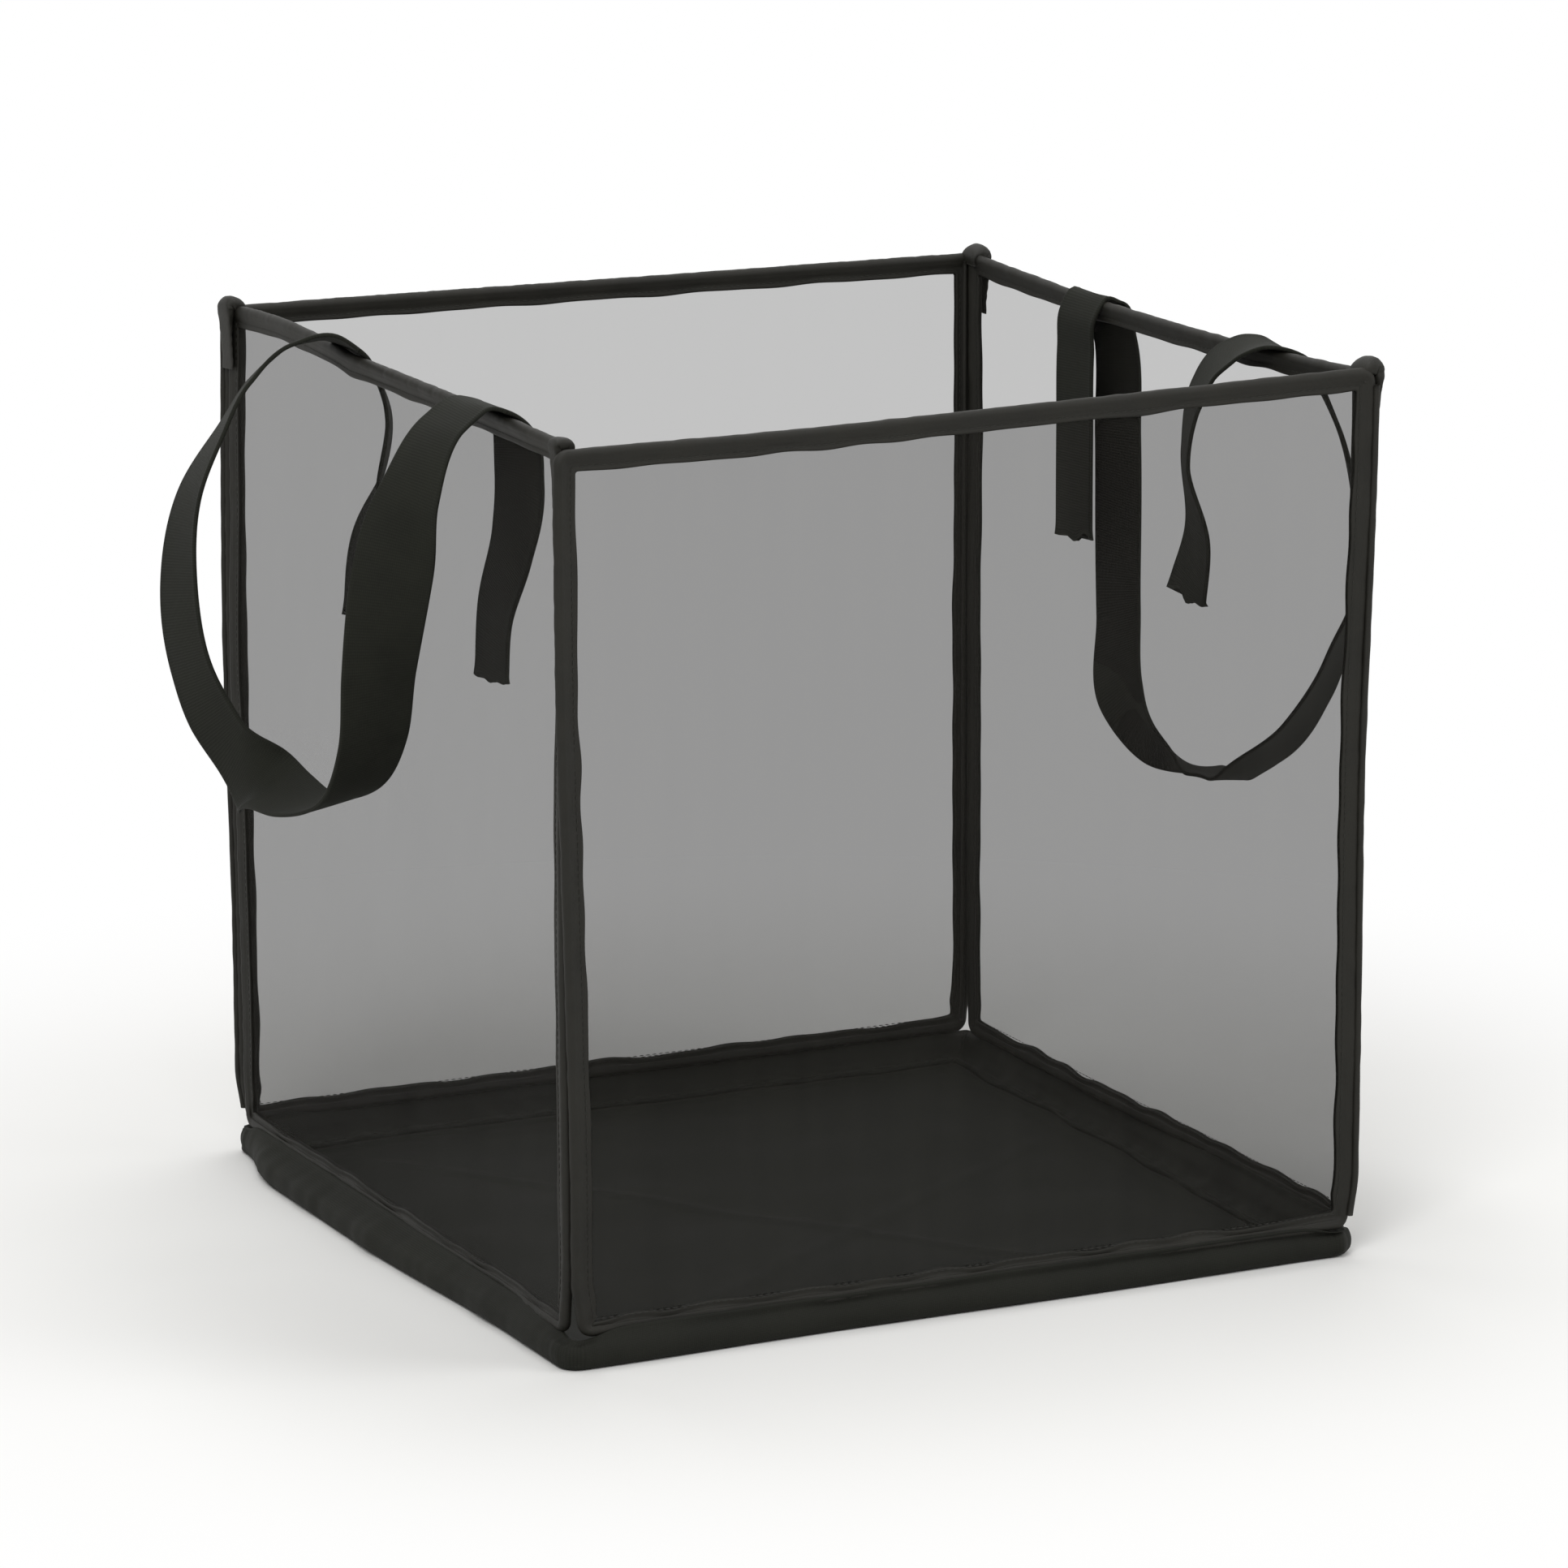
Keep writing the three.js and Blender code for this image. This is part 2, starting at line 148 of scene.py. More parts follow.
def grid_faces(rows, columns, wrap_rows, wrap_columns):
    """Quads between neighbours: corner (i, j), then (i+1, j), (i+1, j+1) and (i, j+1), round again to 0
    where a direction wraps."""
    i, j = np.meshgrid(
        np.arange(rows if wrap_rows else rows - 1),
        np.arange(columns if wrap_columns else columns - 1),
        indexing="ij",
    )
    i, j = i.ravel(), j.ravel()
    corners_i = np.stack([i, i + 1, i + 1, i], axis=1)
    corners_j = np.stack([j, j, j + 1, j + 1], axis=1)
    faces = (corners_i % rows) * columns + corners_j % columns
    return faces, corners_i, corners_j


def signed_volume(points, faces):
    """Six times the volume between the faces and the origin, positive when the faces look out."""
    a, b, c, d = (points[faces[:, k]] for k in range(4))
    return (np.cross(b - a, c - a) * a).sum() + (np.cross(c - a, d - a) * a).sum()


def mesh_object(name, points, faces, uv=None, smooth=True):
    """A mesh object from vertex positions, faces and one UV pair for each corner of each face."""
    data = bpy.data.meshes.new(name)
    data.from_pydata(points.tolist(), [], faces)
    if uv is not None:
        layer = data.uv_layers.new(name="cloth")
        layer.data.foreach_set("uv", np.asarray(uv, np.float32).ravel())
    data.polygons.foreach_set("use_smooth", [smooth] * len(data.polygons))
    data.validate()
    data.update()
    piece = bpy.data.objects.new(name, data)
    bpy.context.collection.objects.link(piece)
    return piece


def sheet_object(name, points, x, y, out):
    """An open sheet that looks the way out points. x and y are the flat cloth's places, for its UV."""
    faces, ci, cj = grid_faces(*x.shape, False, False)
    flat = points.reshape(-1, 3)
    a, b, c = (flat[faces[0, k]] for k in range(3))
    if np.cross(b - a, c - a) @ np.array(out, float) < 0:
        faces, ci, cj = faces[:, ::-1], ci[:, ::-1], cj[:, ::-1]
    uv = np.stack([x[ci, cj], y[ci, cj]], axis=-1)
    return mesh_object(name, flat, faces.tolist(), uv.reshape(-1, 2))


def tube_object(name, points, along, around, wrap_along):
    """A surface whose rings are points[i, :]. It wraps round each ring. Where it doesn't wrap along its
    path, each end is closed by triangles to the ring's middle. along and around are the UV values of the
    rings and of the points in a ring, with one more value where that direction wraps."""
    rows, columns = points.shape[:2]
    faces, ci, cj = grid_faces(rows, columns, wrap_along, True)
    flat = points.reshape(-1, 3)
    outward = signed_volume(flat - flat.mean(0), faces) > 0
    uv = np.stack([along[ci], around[cj]], axis=-1)
    if not outward:
        faces = faces[:, ::-1]
        uv = uv[:, ::-1]
    all_faces = faces.tolist()
    all_uv = [uv.reshape(-1, 2)]
    if not wrap_along:
        middles = np.stack([points[0].mean(0), points[-1].mean(0)])
        flat = np.concatenate([flat, middles])
        for ring, middle, first in ((0, rows * columns, True), (rows - 1, rows * columns + 1, False)):
            j = np.arange(columns)
            a, b = ring * columns + j, ring * columns + (j + 1) % columns
            if first == outward:
                a, b = b, a
            all_faces += np.stack([a, b, np.full(columns, middle)], axis=1).tolist()
            cap = np.zeros((columns, 3, 2))
            cap[:, :, 0] = along[min(ring, len(along) - 1)]
            cap[:, :, 1] = around[j][:, None]
            all_uv.append(cap.reshape(-1, 2))
    return mesh_object(name, flat, all_faces, np.concatenate(all_uv))


# %% [markdown]
# Nothing sewn is perfectly even. A few slow waves with fixed random phases, added together, give the
# gentle unevenness of tape and cloth, and because the seeds are fixed each run gives the same cloth.


# %% Gentle unevenness
def waves(x, period, seed, count=7):
    """Sum of sines of x with periods from 0.5 to 2 times the given one, scaled to about -1..1."""
    random = np.random.RandomState(seed)
    total = np.zeros_like(x, dtype=float)
    for _ in range(count):
        wave = period * 2 ** random.uniform(-1, 1)
        total += np.sin(2 * np.pi * x / wave + random.uniform(0, 2 * np.pi))
    return total / math.sqrt(count)


def waves_2d(x, y, period, seed, count=12):
    """Sum of plane sine waves in random directions, scaled to about -1..1."""
    random = np.random.RandomState(seed)
    total = np.zeros(np.broadcast(x, y).shape)
    for _ in range(count):
        wave = period * 2 ** random.uniform(-0.8, 0.8)
        angle = random.uniform(0, 2 * np.pi)
        phase = random.uniform(0, 2 * np.pi)
        total += np.sin(2 * np.pi * (x * math.cos(angle) + y * math.sin(angle)) / wave + phase)
    return total / math.sqrt(count)


def circle(sides):
    """Angles of a ring's points."""
    return np.arange(sides) * 2 * np.pi / sides


def round_uv(sides, radius):
    """Distance gone round a ring at each of its points, and back at the first."""
    return np.arange(sides + 1) * 2 * np.pi * radius / sides


def smoothstep(x, low, high):
    """0 below low, 1 above high, and 3 t^2 - 2 t^3 between them."""
    t = np.clip((x - low) / (high - low), 0, 1)
    return t * t * (3 - 2 * t)


# %% A smooth curve through a few points
FINE_STEPS = 6000


def smooth_through(stations, spacing):
    """Cubic Hermite curve through the stations, with the distance between them as its parameter and the
    slope at each from its two neighbours, then taken at even spacing along its length."""
    knots = distance_gone(stations[:, :3])
    slopes = np.gradient(stations, knots, axis=0)
    fine = np.linspace(0, knots[-1], FINE_STEPS)
    k = np.clip(np.searchsorted(knots, fine, side="right") - 1, 0, len(knots) - 2)
    h = (knots[k + 1] - knots[k])[:, None]
    t = ((fine - knots[k]) / h[:, 0])[:, None]
    curve = (
        (2 * t**3 - 3 * t**2 + 1) * stations[k]
        + (t**3 - 2 * t**2 + t) * h * slopes[k]
        + (-2 * t**3 + 3 * t**2) * stations[k + 1]
        + (t**3 - t**2) * h * slopes[k + 1]
    )
    gone = distance_gone(curve[:, :3])
    even = np.linspace(0, gone[-1], int(round(gone[-1] / spacing)) + 1)
    return np.stack([np.interp(even, gone, column) for column in curve.T], axis=1), even


# %% [markdown]
# ## Finishes
#
# The hamper has seven finishes: the binding tape, the webbing, the floor's cloth, the sewing thread,
# the filler cord, the see-through mesh and the steel inside. A cloth's finish starts from its weave:
# two sets of fine bands along the UV map, one for the threads each way, raise the surface a little and
# also paint its colour, with a painted highlight on the thread tops and painted shade in the gaps.


# %% Node helpers
def new_material(name):
    material = bpy.data.materials.new(name)
    material.use_nodes = True
    nodes = material.node_tree.nodes
    return material, nodes, material.node_tree.links, nodes["Principled BSDF"]


def add_node(nodes, kind, **values):
    node = nodes.new(kind)
    for key, value in values.items():
        if hasattr(node, key):
            setattr(node, key, value)
        else:
            node.inputs[key.replace("_", " ")].default_value = value
    return node


def math_node(nodes, links, operation, first, second):
    node = nodes.new("ShaderNodeMath")
    node.operation = operation
    for socket, value in zip(node.inputs, (first, second)):
        if isinstance(value, (int, float)):
            socket.default_value = value
        else:
            links.new(value, socket)
    return node.outputs[0]


def thread_bands(nodes, links, coordinate, pitch):
    """Height of threads side by side: half a sine of the coordinate over the pitch, from 0 to 1."""
    angle = math_node(nodes, links, "MULTIPLY", coordinate, math.pi / pitch)
    wave = math_node(nodes, links, "SINE", angle, 0)
    return math_node(nodes, links, "ABSOLUTE", wave, 0)


def weave(nodes, links, shader, along, across, bump, depth):
    """Threads both ways raise the surface. Returns their height, from 0 to 1, and the UV node."""
    uv = add_node(nodes, "ShaderNodeUVMap", uv_map="cloth")
    split = nodes.new("ShaderNodeSeparateXYZ")
    links.new(uv.outputs["UV"], split.inputs[0])
    weft = thread_bands(nodes, links, split.outputs["X"], along)
    warp = thread_bands(nodes, links, split.outputs["Y"], across)
    height = math_node(nodes, links, "MULTIPLY", weft, warp)
    raise_up = add_node(nodes, "ShaderNodeBump", Strength=bump, Distance=depth)
    links.new(height, raise_up.inputs["Height"])
    links.new(raise_up.outputs["Normal"], shader.inputs["Normal"])
    return height, uv


def tones(nodes, links, shader, share, dark, light, low=0.0, high=1.0):
    """Base colour that runs from dark to light as the share goes from low to high."""
    ramp = nodes.new("ShaderNodeValToRGB")
    for element, position, colour in zip(ramp.color_ramp.elements, (low, high), (dark, light)):
        element.position = position
        element.color = (*colour, 1)
    links.new(share, ramp.inputs["Fac"])
    links.new(ramp.outputs["Color"], shader.inputs["Base Color"])


def object_noise(nodes, links, **values):
    where = nodes.new("ShaderNodeTexCoord")
    noise = add_node(nodes, "ShaderNodeTexNoise", **values)
    links.new(where.outputs["Object"], noise.inputs["Vector"])
    return noise.outputs["Fac"]


def set_values(shader, **values):
    for name, value in values.items():
        shader.inputs[name.replace("_", " ")].default_value = value


# %% Woven cloth
def woven(name, dark, light, pitch, roughness, gloss, sheen, bump, blotch):
    """A woven finish. The colour runs from the dark tone in the gaps of the weave, which is painted
    shade, to the light tone on its thread tops, which is a painted highlight, shifted by slow blotches,
    which change the roughness too."""
    material, nodes, links, shader = new_material(name)
    height, _ = weave(nodes, links, shader, *pitch, bump, 0.15 * MM)
    noise = object_noise(nodes, links, Scale=blotch, Detail=4.0, Roughness=0.6)
    shifted = math_node(nodes, links, "MULTIPLY", noise, 0.9)
    # Painted light: the weave's height lightens the thread tops and leaves painted shade in the gaps.
    half = math_node(nodes, links, "MULTIPLY", height, 0.45)
    tone = math_node(nodes, links, "ADD", shifted, half)
    tones(nodes, links, shader, tone, dark, light, 0.2, 0.95)
    rough = math_node(nodes, links, "MULTIPLY", noise, 0.25)
    links.new(math_node(nodes, links, "ADD", rough, roughness), shader.inputs["Roughness"])
    set_values(shader, Specular_IOR_Level=gloss, Sheen_Weight=sheen, Sheen_Roughness=0.4)
    return material


BINDING = woven(
    "binding_tape",
    dark=(0.0065, 0.0062, 0.0048),
    light=(0.017, 0.0162, 0.0125),
    pitch=(0.42 * MM, 0.36 * MM),
    roughness=0.42, gloss=0.22, sheen=0.0, bump=0.35, blotch=60,
)
WEBBING = woven(
    "ribbed_webbing",
    dark=(0.0055, 0.0058, 0.0042),
    light=(0.0155, 0.0165, 0.0122),
    pitch=(1.15 * MM, 0.8 * MM),
    roughness=0.6, gloss=0.12, sheen=0.01, bump=0.6, blotch=45,
)
FLOOR_CLOTH = woven(
    "floor_cloth",
    dark=(0.0062, 0.0065, 0.005),
    light=(0.0165, 0.017, 0.0132),
    pitch=(0.6 * MM, 0.6 * MM),
    roughness=0.55, gloss=0.12, sheen=0.0, bump=0.4, blotch=25,
)
THREAD = woven(
    "sewing_thread",
    dark=(0.012, 0.012, 0.01),
    light=(0.03, 0.03, 0.026),
    pitch=(0.25 * MM, 0.3 * MM),
    roughness=0.45, gloss=0.2, sheen=0.0, bump=0.3, blotch=200,
)
CORD = woven(
    "filler_cord",
    dark=(0.42, 0.4, 0.35),
    light=(0.68, 0.65, 0.58),
    pitch=(2 * MM, 1.2 * MM),
    roughness=0.8, gloss=0.3, sheen=0.1, bump=0.8, blotch=80,
)

# %% [markdown]
# The mesh is so fine that the eye doesn't see its holes, only a dark veil: about half of the light
# goes straight through. So its finish is a thin dark cloth whose alpha is the share that its threads
# cover. Knitted columns and faint streaks, as in real tulle, vary its tone.


# %% See-through mesh and steel
def knitted_mesh():
    material, nodes, links, shader = new_material("knitted_mesh")
    _, uv = weave(nodes, links, shader, 0.9 * MM, 0.7 * MM, 0.25, 0.1 * MM)
    stretch = nodes.new("ShaderNodeMapping")
    stretch.inputs["Scale"].default_value = (90, 4, 1)
    links.new(uv.outputs["UV"], stretch.inputs["Vector"])
    streaks = add_node(nodes, "ShaderNodeTexNoise", Scale=1.0, Detail=3.0, Roughness=0.6)
    links.new(stretch.outputs["Vector"], streaks.inputs["Vector"])
    dark, light = (0.006, 0.0055, 0.0045), (0.014, 0.0132, 0.011)
    tones(nodes, links, shader, streaks.outputs["Fac"], dark, light, 0.3, 0.75)
    set_values(shader, Roughness=0.7, Specular_IOR_Level=0.1, Alpha=0.46)
    return material


def drawn_steel():
    material, nodes, links, shader = new_material("spring_steel")
    noise = object_noise(nodes, links, Scale=400.0, Detail=3.0)
    tones(nodes, links, shader, noise, (0.36, 0.36, 0.37), (0.6, 0.6, 0.61))
    rough = math_node(nodes, links, "MULTIPLY", noise, 0.4)
    links.new(rough, shader.inputs["Roughness"])
    set_values(shader, Metallic=1.0)
    return material


MESH = knitted_mesh()
STEEL = drawn_steel()


def finish_with(piece, material):
    piece.data.materials.clear()
    piece.data.materials.append(material)


# %% [markdown]
# ## The walls
#
# A wall is worked out in its own flat frame, x along the wall, y up from its foot and z out of the
# box, and then stood up in its place. The front and back walls are a little longer than the side
# walls, whose ends butt against them.

# %% Where each wall stands
WALLS = {
    "front": dict(out=(0, -1, 0), along=(1, 0, 0), reach=SIDE_Y, length=LONG_WALL),
    "back": dict(out=(0, 1, 0), along=(-1, 0, 0), reach=SIDE_Y, length=LONG_WALL),
    "left": dict(out=(-1, 0, 0), along=(0, -1, 0), reach=SIDE_X, length=SHORT_WALL),
    "right": dict(out=(1, 0, 0), along=(0, 1, 0), reach=SIDE_X, length=SHORT_WALL),
}
WALL_BODY = {
    "front": "front_wall",
    "back": "base_and_back_wall",
    "left": "left_wall",
    "right": "right_wall",
}


def stand_up(wall, x, y, z):
    """World point: along * (x + drift) + up * (foot + y + rise) + out * (reach + z + lean)."""
    out, along = np.array(WALLS[wall]["out"], float), np.array(WALLS[wall]["along"], float)
    drift, rise, lean = hang(wall, np.asarray(x, float), np.asarray(y, float))
    out_by = (np.asarray(z) + lean)[..., None] + WALLS[wall]["reach"]
    up_by = (np.asarray(y) + rise)[..., None] + FOOT
    return out * out_by + along * (np.asarray(x) + drift)[..., None] + np.array([0, 0, 1.0]) * up_by


# %% [markdown]
# The walls of a soft hamper are never quite flat or square. Each spring wire is a little bowed: the
# right rail sags under its handle, the left rail rises towards the back, the front wall leans left at
# its top, and every wall is drawn in at its foot. All the pieces of a wall take their shape from this
# one function, so they stay together.


# %% How each wall hangs
def arch(x, middle, half):
    """1 - t^2, where t is the distance from the middle over the half width, and 0 beyond."""
    return np.clip(1 - ((x - middle) / half) ** 2, 0, 1)


def hang(wall, x, y):
    """Shift of the cloth from a flat wall, in metres: along the wall, up and out. u runs from -1 to 1
    along it, h from 0 at the foot to 1 at the rail, and each bow is a smooth step or bump of these."""
    length, height = WALLS[wall]["length"], TOP - FOOT
    u, h = 2 * x / length, y / height
    along, up, out = -2.4 * u * (1 - smoothstep(y, 3 * MM, 24 * MM)), 0 * h, 0 * h
    back_bow = 2.3 * np.exp(-(((y - 228 * MM) / (100 * MM)) ** 2))
    if wall == "front":
        left = -4.7 * smoothstep(y, 50 * MM, 285 * MM)
        right = -2.0 + 4.2 * smoothstep(y, 170 * MM, 358 * MM)
        along = along + (1 - u) / 2 * left + (1 + u) / 2 * right
        up = (-3.3 + 5 * smoothstep(u, -0.7, 1.4)) * h
    elif wall == "back":
        along = along + (1 + u) / 2 * back_bow
        up = -(0.4 + 1.3 * (1 - u)) * h
    elif wall == "left":
        up = (-smoothstep(x, 100 * MM, 175 * MM) + 3.3 * arch(x, -108 * MM, 67 * MM)) * h
        low = 1 - smoothstep(y, 190 * MM, 280 * MM)
        out = back_bow * smoothstep(-x, 20 * MM, 170 * MM) + 2.0 * low * smoothstep(x, 90 * MM, 160 * MM)
    else:
        share = np.clip((1 + u) / 2, 0, 1)
        up = -(4.2 * np.sin(np.pi * share) ** 0.8 + 2.0 * share) * h
        out = 1.9 * h * (1 - smoothstep(x, -172 * MM, -60 * MM))
    return along * MM, up * MM, out * MM


# %% [markdown]
# A casing is a flat tape folded round the wire and sewn shut over the mesh. Its section looks like a
# keyhole: round where the wire pushes it out and flat at the hem. The section is carried round the
# rectangle of the wire. The wire turns tightly at the corners, so the casing looks square there, and
# the hem inside it has almost sharp corners. The tape's thickness wanders a little along the way, and
# the stitches pull the hem in at each thread.


# %% Sizes of the casing
CASING_WIDTH = 9 * MM
FOOT_NARROWER = 1.8 * MM
HEM_HALF = 1.15 * MM
WIRE_CORNER = 3.7 * MM
HEM_CORNER = 1.2 * MM
STITCH_LINE = 4.7 * MM
STITCH_PITCH = 3.2 * MM
BULB_OPENS = 62  # degrees from the hem to each end of the round part


# %% Carry a section round a rectangle
def frame_rings(width, height, radius, spacing, arc_steps):
    """Rings round a rectangle, anticlockwise from its lower left corner: the share of the way across
    each way, from -1 to 1, the direction outwards, the distance gone at each, and the whole length."""
    corners = np.array([(-1, -1), (1, -1), (1, 1), (-1, 1), (-1, -1)], float)
    normals = np.array([(0, -1), (1, 0), (0, 1), (-1, 0), (0, -1)], float)
    shares, outwards, gone, at = [], [], [], 0.0
    for k in range(4):
        run = (height if k % 2 else width) - 2 * radius
        count = int(round(run / spacing))
        t = np.arange(count)[:, None] / count
        turn = np.arange(arc_steps)[:, None] / arc_steps * math.pi / 2
        shares += [corners[k] + t * (corners[k + 1] - corners[k])]
        shares += [np.tile(corners[k + 1], (arc_steps, 1))]
        outwards += [np.tile(normals[k], (count, 1))]
        outwards += [np.cos(turn) * normals[k] + np.sin(turn) * normals[k + 1]]
        gone += [at + t[:, 0] * run, at + run + turn[:, 0] * radius]
        at += run + math.pi / 2 * radius
    return np.concatenate(shares), np.concatenate(outwards), np.concatenate(gone), at


def around_frame(shares, outwards, width, height, radius, least, inwards):
    """A ring's point that lies a inside the line: centre * share + r * outwards. Here r is the line's
    corner radius less a, but at least a small radius, and the centre is half the size less a and r."""
    r = np.maximum(radius - inwards, least)
    centres = np.array([width, height]) / 2 - (inwards + r)[..., None]
    return shares[:, None, :] * centres + r[..., None] * outwards[:, None, :]


def line_frame(width, height, radius, least, spacing, arc_steps):
    """A rectangle's rings with the sizes that around_frame needs, the distance gone and the length."""
    shares, outwards, gone, total = frame_rings(width, height, radius, spacing, arc_steps)
    return (shares, outwards, width, height, radius, least), gone, total


def section_lengths(section):
    """Distance gone round a closed section, for its UV."""
    closed = np.concatenate([section, section[:1]])
    return np.concatenate([[0], np.cumsum(np.hypot(*np.diff(closed, axis=0).T))])


def keyhole(count=40):
    """The casing's section, x inwards from the wire and z out of the wall: two thirds of a circle,
    narrowing smoothly to a hem of even thickness whose end is notched where the mesh goes in."""
    hem_end, hem_half = CASING_WIDTH - BULB, HEM_HALF
    angle = np.radians(np.linspace(BULB_OPENS, 360 - BULB_OPENS, count // 2))
    bulb = np.stack([BULB * np.cos(angle), BULB * np.sin(angle)], axis=1)
    t = np.linspace(0, 1, count // 4 + 1)[1:]
    start_x, start_z = bulb[0]
    side_x = start_x + (hem_end - start_x) * t
    side_z = hem_half + (start_z - hem_half) * (1 - smoothstep(t, 0, 0.55))
    side_z = side_z - 0.25 * MM * smoothstep(t, 0.9, 1.0)
    lower = np.stack([side_x, -side_z], axis=1)
    notch = np.array([[hem_end - 0.7 * MM, -0.35 * MM], [hem_end - 0.7 * MM, 0.35 * MM]])
    upper = np.stack([side_x, side_z], axis=1)[::-1]
    return np.concatenate([bulb, lower, notch, upper])


# %% Casings
def bend_of_wall(wall, x, y):
    """How far the wall stands out of its plane: tape and mesh share this slow wave."""
    seed = {"front": 3, "back": 5, "left": 8, "right": 13}[wall]
    return 0.45 * MM * waves_2d(x, y, 0.16, seed)


def wire_frame(wall, spacing, arc_steps=6):
    size = WALLS[wall]["length"] - 2 * BULB, TOP - FOOT - 2 * BULB
    return line_frame(*size, WIRE_CORNER, HEM_CORNER, spacing, arc_steps)


def edge_hold(length, height, x, y):
    """1 in the wall's middle and about 0.35 at its corners, which their neighbours hold."""
    u = np.clip(np.abs(x) / (length / 2), 0, 1)
    v = np.clip(np.abs(y - height / 2) / (height / 2), 0, 1)
    return 1 - 0.65 * smoothstep(u, 0.8, 1.0) * smoothstep(v, 0.8, 1.0)


def on_wall(wall, side, depth):
    """Stand up the places (x, height from the wall's middle), with the wall's slow wave added."""
    length, height = WALLS[wall]["length"], TOP - FOOT
    x, y = side[..., 0], side[..., 1] + height / 2
    lean = bend_of_wall(wall, x, y) * edge_hold(length, height, x, y)
    return stand_up(wall, x, y, depth + lean)


def casing(wall):
    frame_line, gone, total = wire_frame(wall, 1.6 * MM)
    section = keyhole()
    a, b = section[:, 0], section[:, 1]
    seed = len(wall) * 7
    swell = 1 + 0.035 * waves(gone, 0.03, seed) + 0.03 * waves(gone, 0.009, seed + 1)
    bulbness = 1 - smoothstep(a, 0, 3 * MM)
    hemness = smoothstep(a, 2 * MM, 4 * MM)
    pull = 1 - 0.10 * np.cos(2 * np.pi * gone / STITCH_PITCH)
    across = a[None, :] * (1 + bulbness[None, :] * (swell[:, None] - 1))
    at_foot = smoothstep(-frame_line[0][:, 1], 0.97, 1.0)
    across = across - hemness * FOOT_NARROWER * at_foot[:, None]
    wander = (0.35 * MM + 0.45 * MM * at_foot) * waves(gone, 0.05, seed + 2)
    across = across + hemness * wander[:, None]
    near_line = np.exp(-(((a - STITCH_LINE) / (0.9 * MM)) ** 2))
    depth = b[None, :] * (1 + bulbness[None, :] * (swell[:, None] - 1))
    depth = depth * (1 - near_line * 0.16 * pull[:, None])
    points = on_wall(wall, around_frame(*frame_line, across), depth)
    piece = tube_object(
        f"{wall}_wall_tape", points, np.append(gone, total), section_lengths(section), True
    )
    finish_with(piece, BINDING)
    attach(piece, WALL_BODY[wall])
    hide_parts(f"{wall}_wall_casing")
    return piece


casings = {wall: casing(wall) for wall in WALLS}
print("casings:", {w: len(c.data.polygons) for w, c in casings.items()})

# %% [markdown]
# The stitches are real threads: one short, rounded bead of thread for each stitch, copied along the
# hem on both faces of the wall. Each bead has only a few faces, because there are hundreds.


# %% Beads of thread
def bead(half_length, radius, rings=5, sides=6):
    """A bead like a capsule. Its radius is r * sqrt(1.02 - t^2), where t runs from -1 to 1 along it."""
    t = np.linspace(-1, 1, rings)
    ring_radius = radius * np.sqrt(np.clip(1.02 - t**2, 0.02, 1))
    angle = circle(sides)
    points = np.zeros((rings, sides, 3))
    points[..., 0] = (half_length * t)[:, None]
    points[..., 1] = ring_radius[:, None] * np.cos(angle)
    points[..., 2] = ring_radius[:, None] * np.sin(angle)
    faces, _, _ = grid_faces(rings, sides, False, True)
    caps = [list(range(sides)), list(range((rings - 1) * sides, rings * sides))[::-1]]
    return points.reshape(-1, 3), faces, caps


def thread_row(name, centres, ways, normals, half_length=1.15 * MM, radius=0.2 * MM):
    """One bead at each centre, its length along the way and its height along the normal."""
    shape, quads, caps = bead(half_length, radius)
    ways = unit(ways)
    sides = unit(np.cross(normals, ways))
    ups = np.cross(ways, sides)
    turned = (
        shape[None, :, 0:1] * ways[:, None, :]
        + shape[None, :, 1:2] * sides[:, None, :]
        + shape[None, :, 2:3] * ups[:, None, :]
    )
    points = (centres[:, None, :] + turned).reshape(-1, 3)
    flipped = signed_volume(shape, quads) < 0
    quads = quads[:, ::-1] if flipped else quads
    caps = caps if flipped else [c[::-1] for c in caps]
    step = len(shape)
    starts = np.arange(len(centres)) * step
    faces = (quads[None] + starts[:, None, None]).reshape(-1, 4).tolist()
    for cap in caps:
        faces += (np.array(cap)[None] + starts[:, None]).tolist()
    corners = np.concatenate([np.array(f) for f in faces])
    beads = np.stack([shape[:, 0], shape[:, 1] + shape[:, 2]], axis=1)
    piece = mesh_object(name, points, faces, beads[corners % step])
    finish_with(piece, THREAD)
    return piece


def casing_stitches(wall):
    frame_line, gone, total = wire_frame(wall, STITCH_PITCH, arc_steps=1)
    outwards = frame_line[1]
    middle = around_frame(*frame_line, np.array([STITCH_LINE]))[:, 0]
    ahead = middle + np.stack([-outwards[:, 1], outwards[:, 0]], axis=1) * MM
    here, there = on_wall(wall, middle, 0 * gone), on_wall(wall, ahead, 0 * gone)
    out = np.array(WALLS[wall]["out"], float)
    centres, ways, normals = [], [], []
    for side in (1, -1):
        centres.append(here + out * side * HEM_HALF * 0.93)
        ways.append(there - here)
        normals.append(np.tile(out * side, (len(here), 1)))
    piece = thread_row(
        f"{wall}_wall_stitches", *(np.concatenate(v) for v in (centres, ways, normals))
    )
    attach(piece, WALL_BODY[wall])
    return piece


stitches = {wall: casing_stitches(wall) for wall in WALLS}
print("faces of the front wall's stitches:", len(stitches["front"].data.polygons))

# %% [markdown]
# The mesh is one thin sheet of cloth in each wall, cut to reach into the hem. It is stretched by the
# wire, so it stays nearly flat, with the slow wave of its wall and a few faint ripples that fade out
# towards its edges.


# %% Mesh panels
NET_STEPS = 110


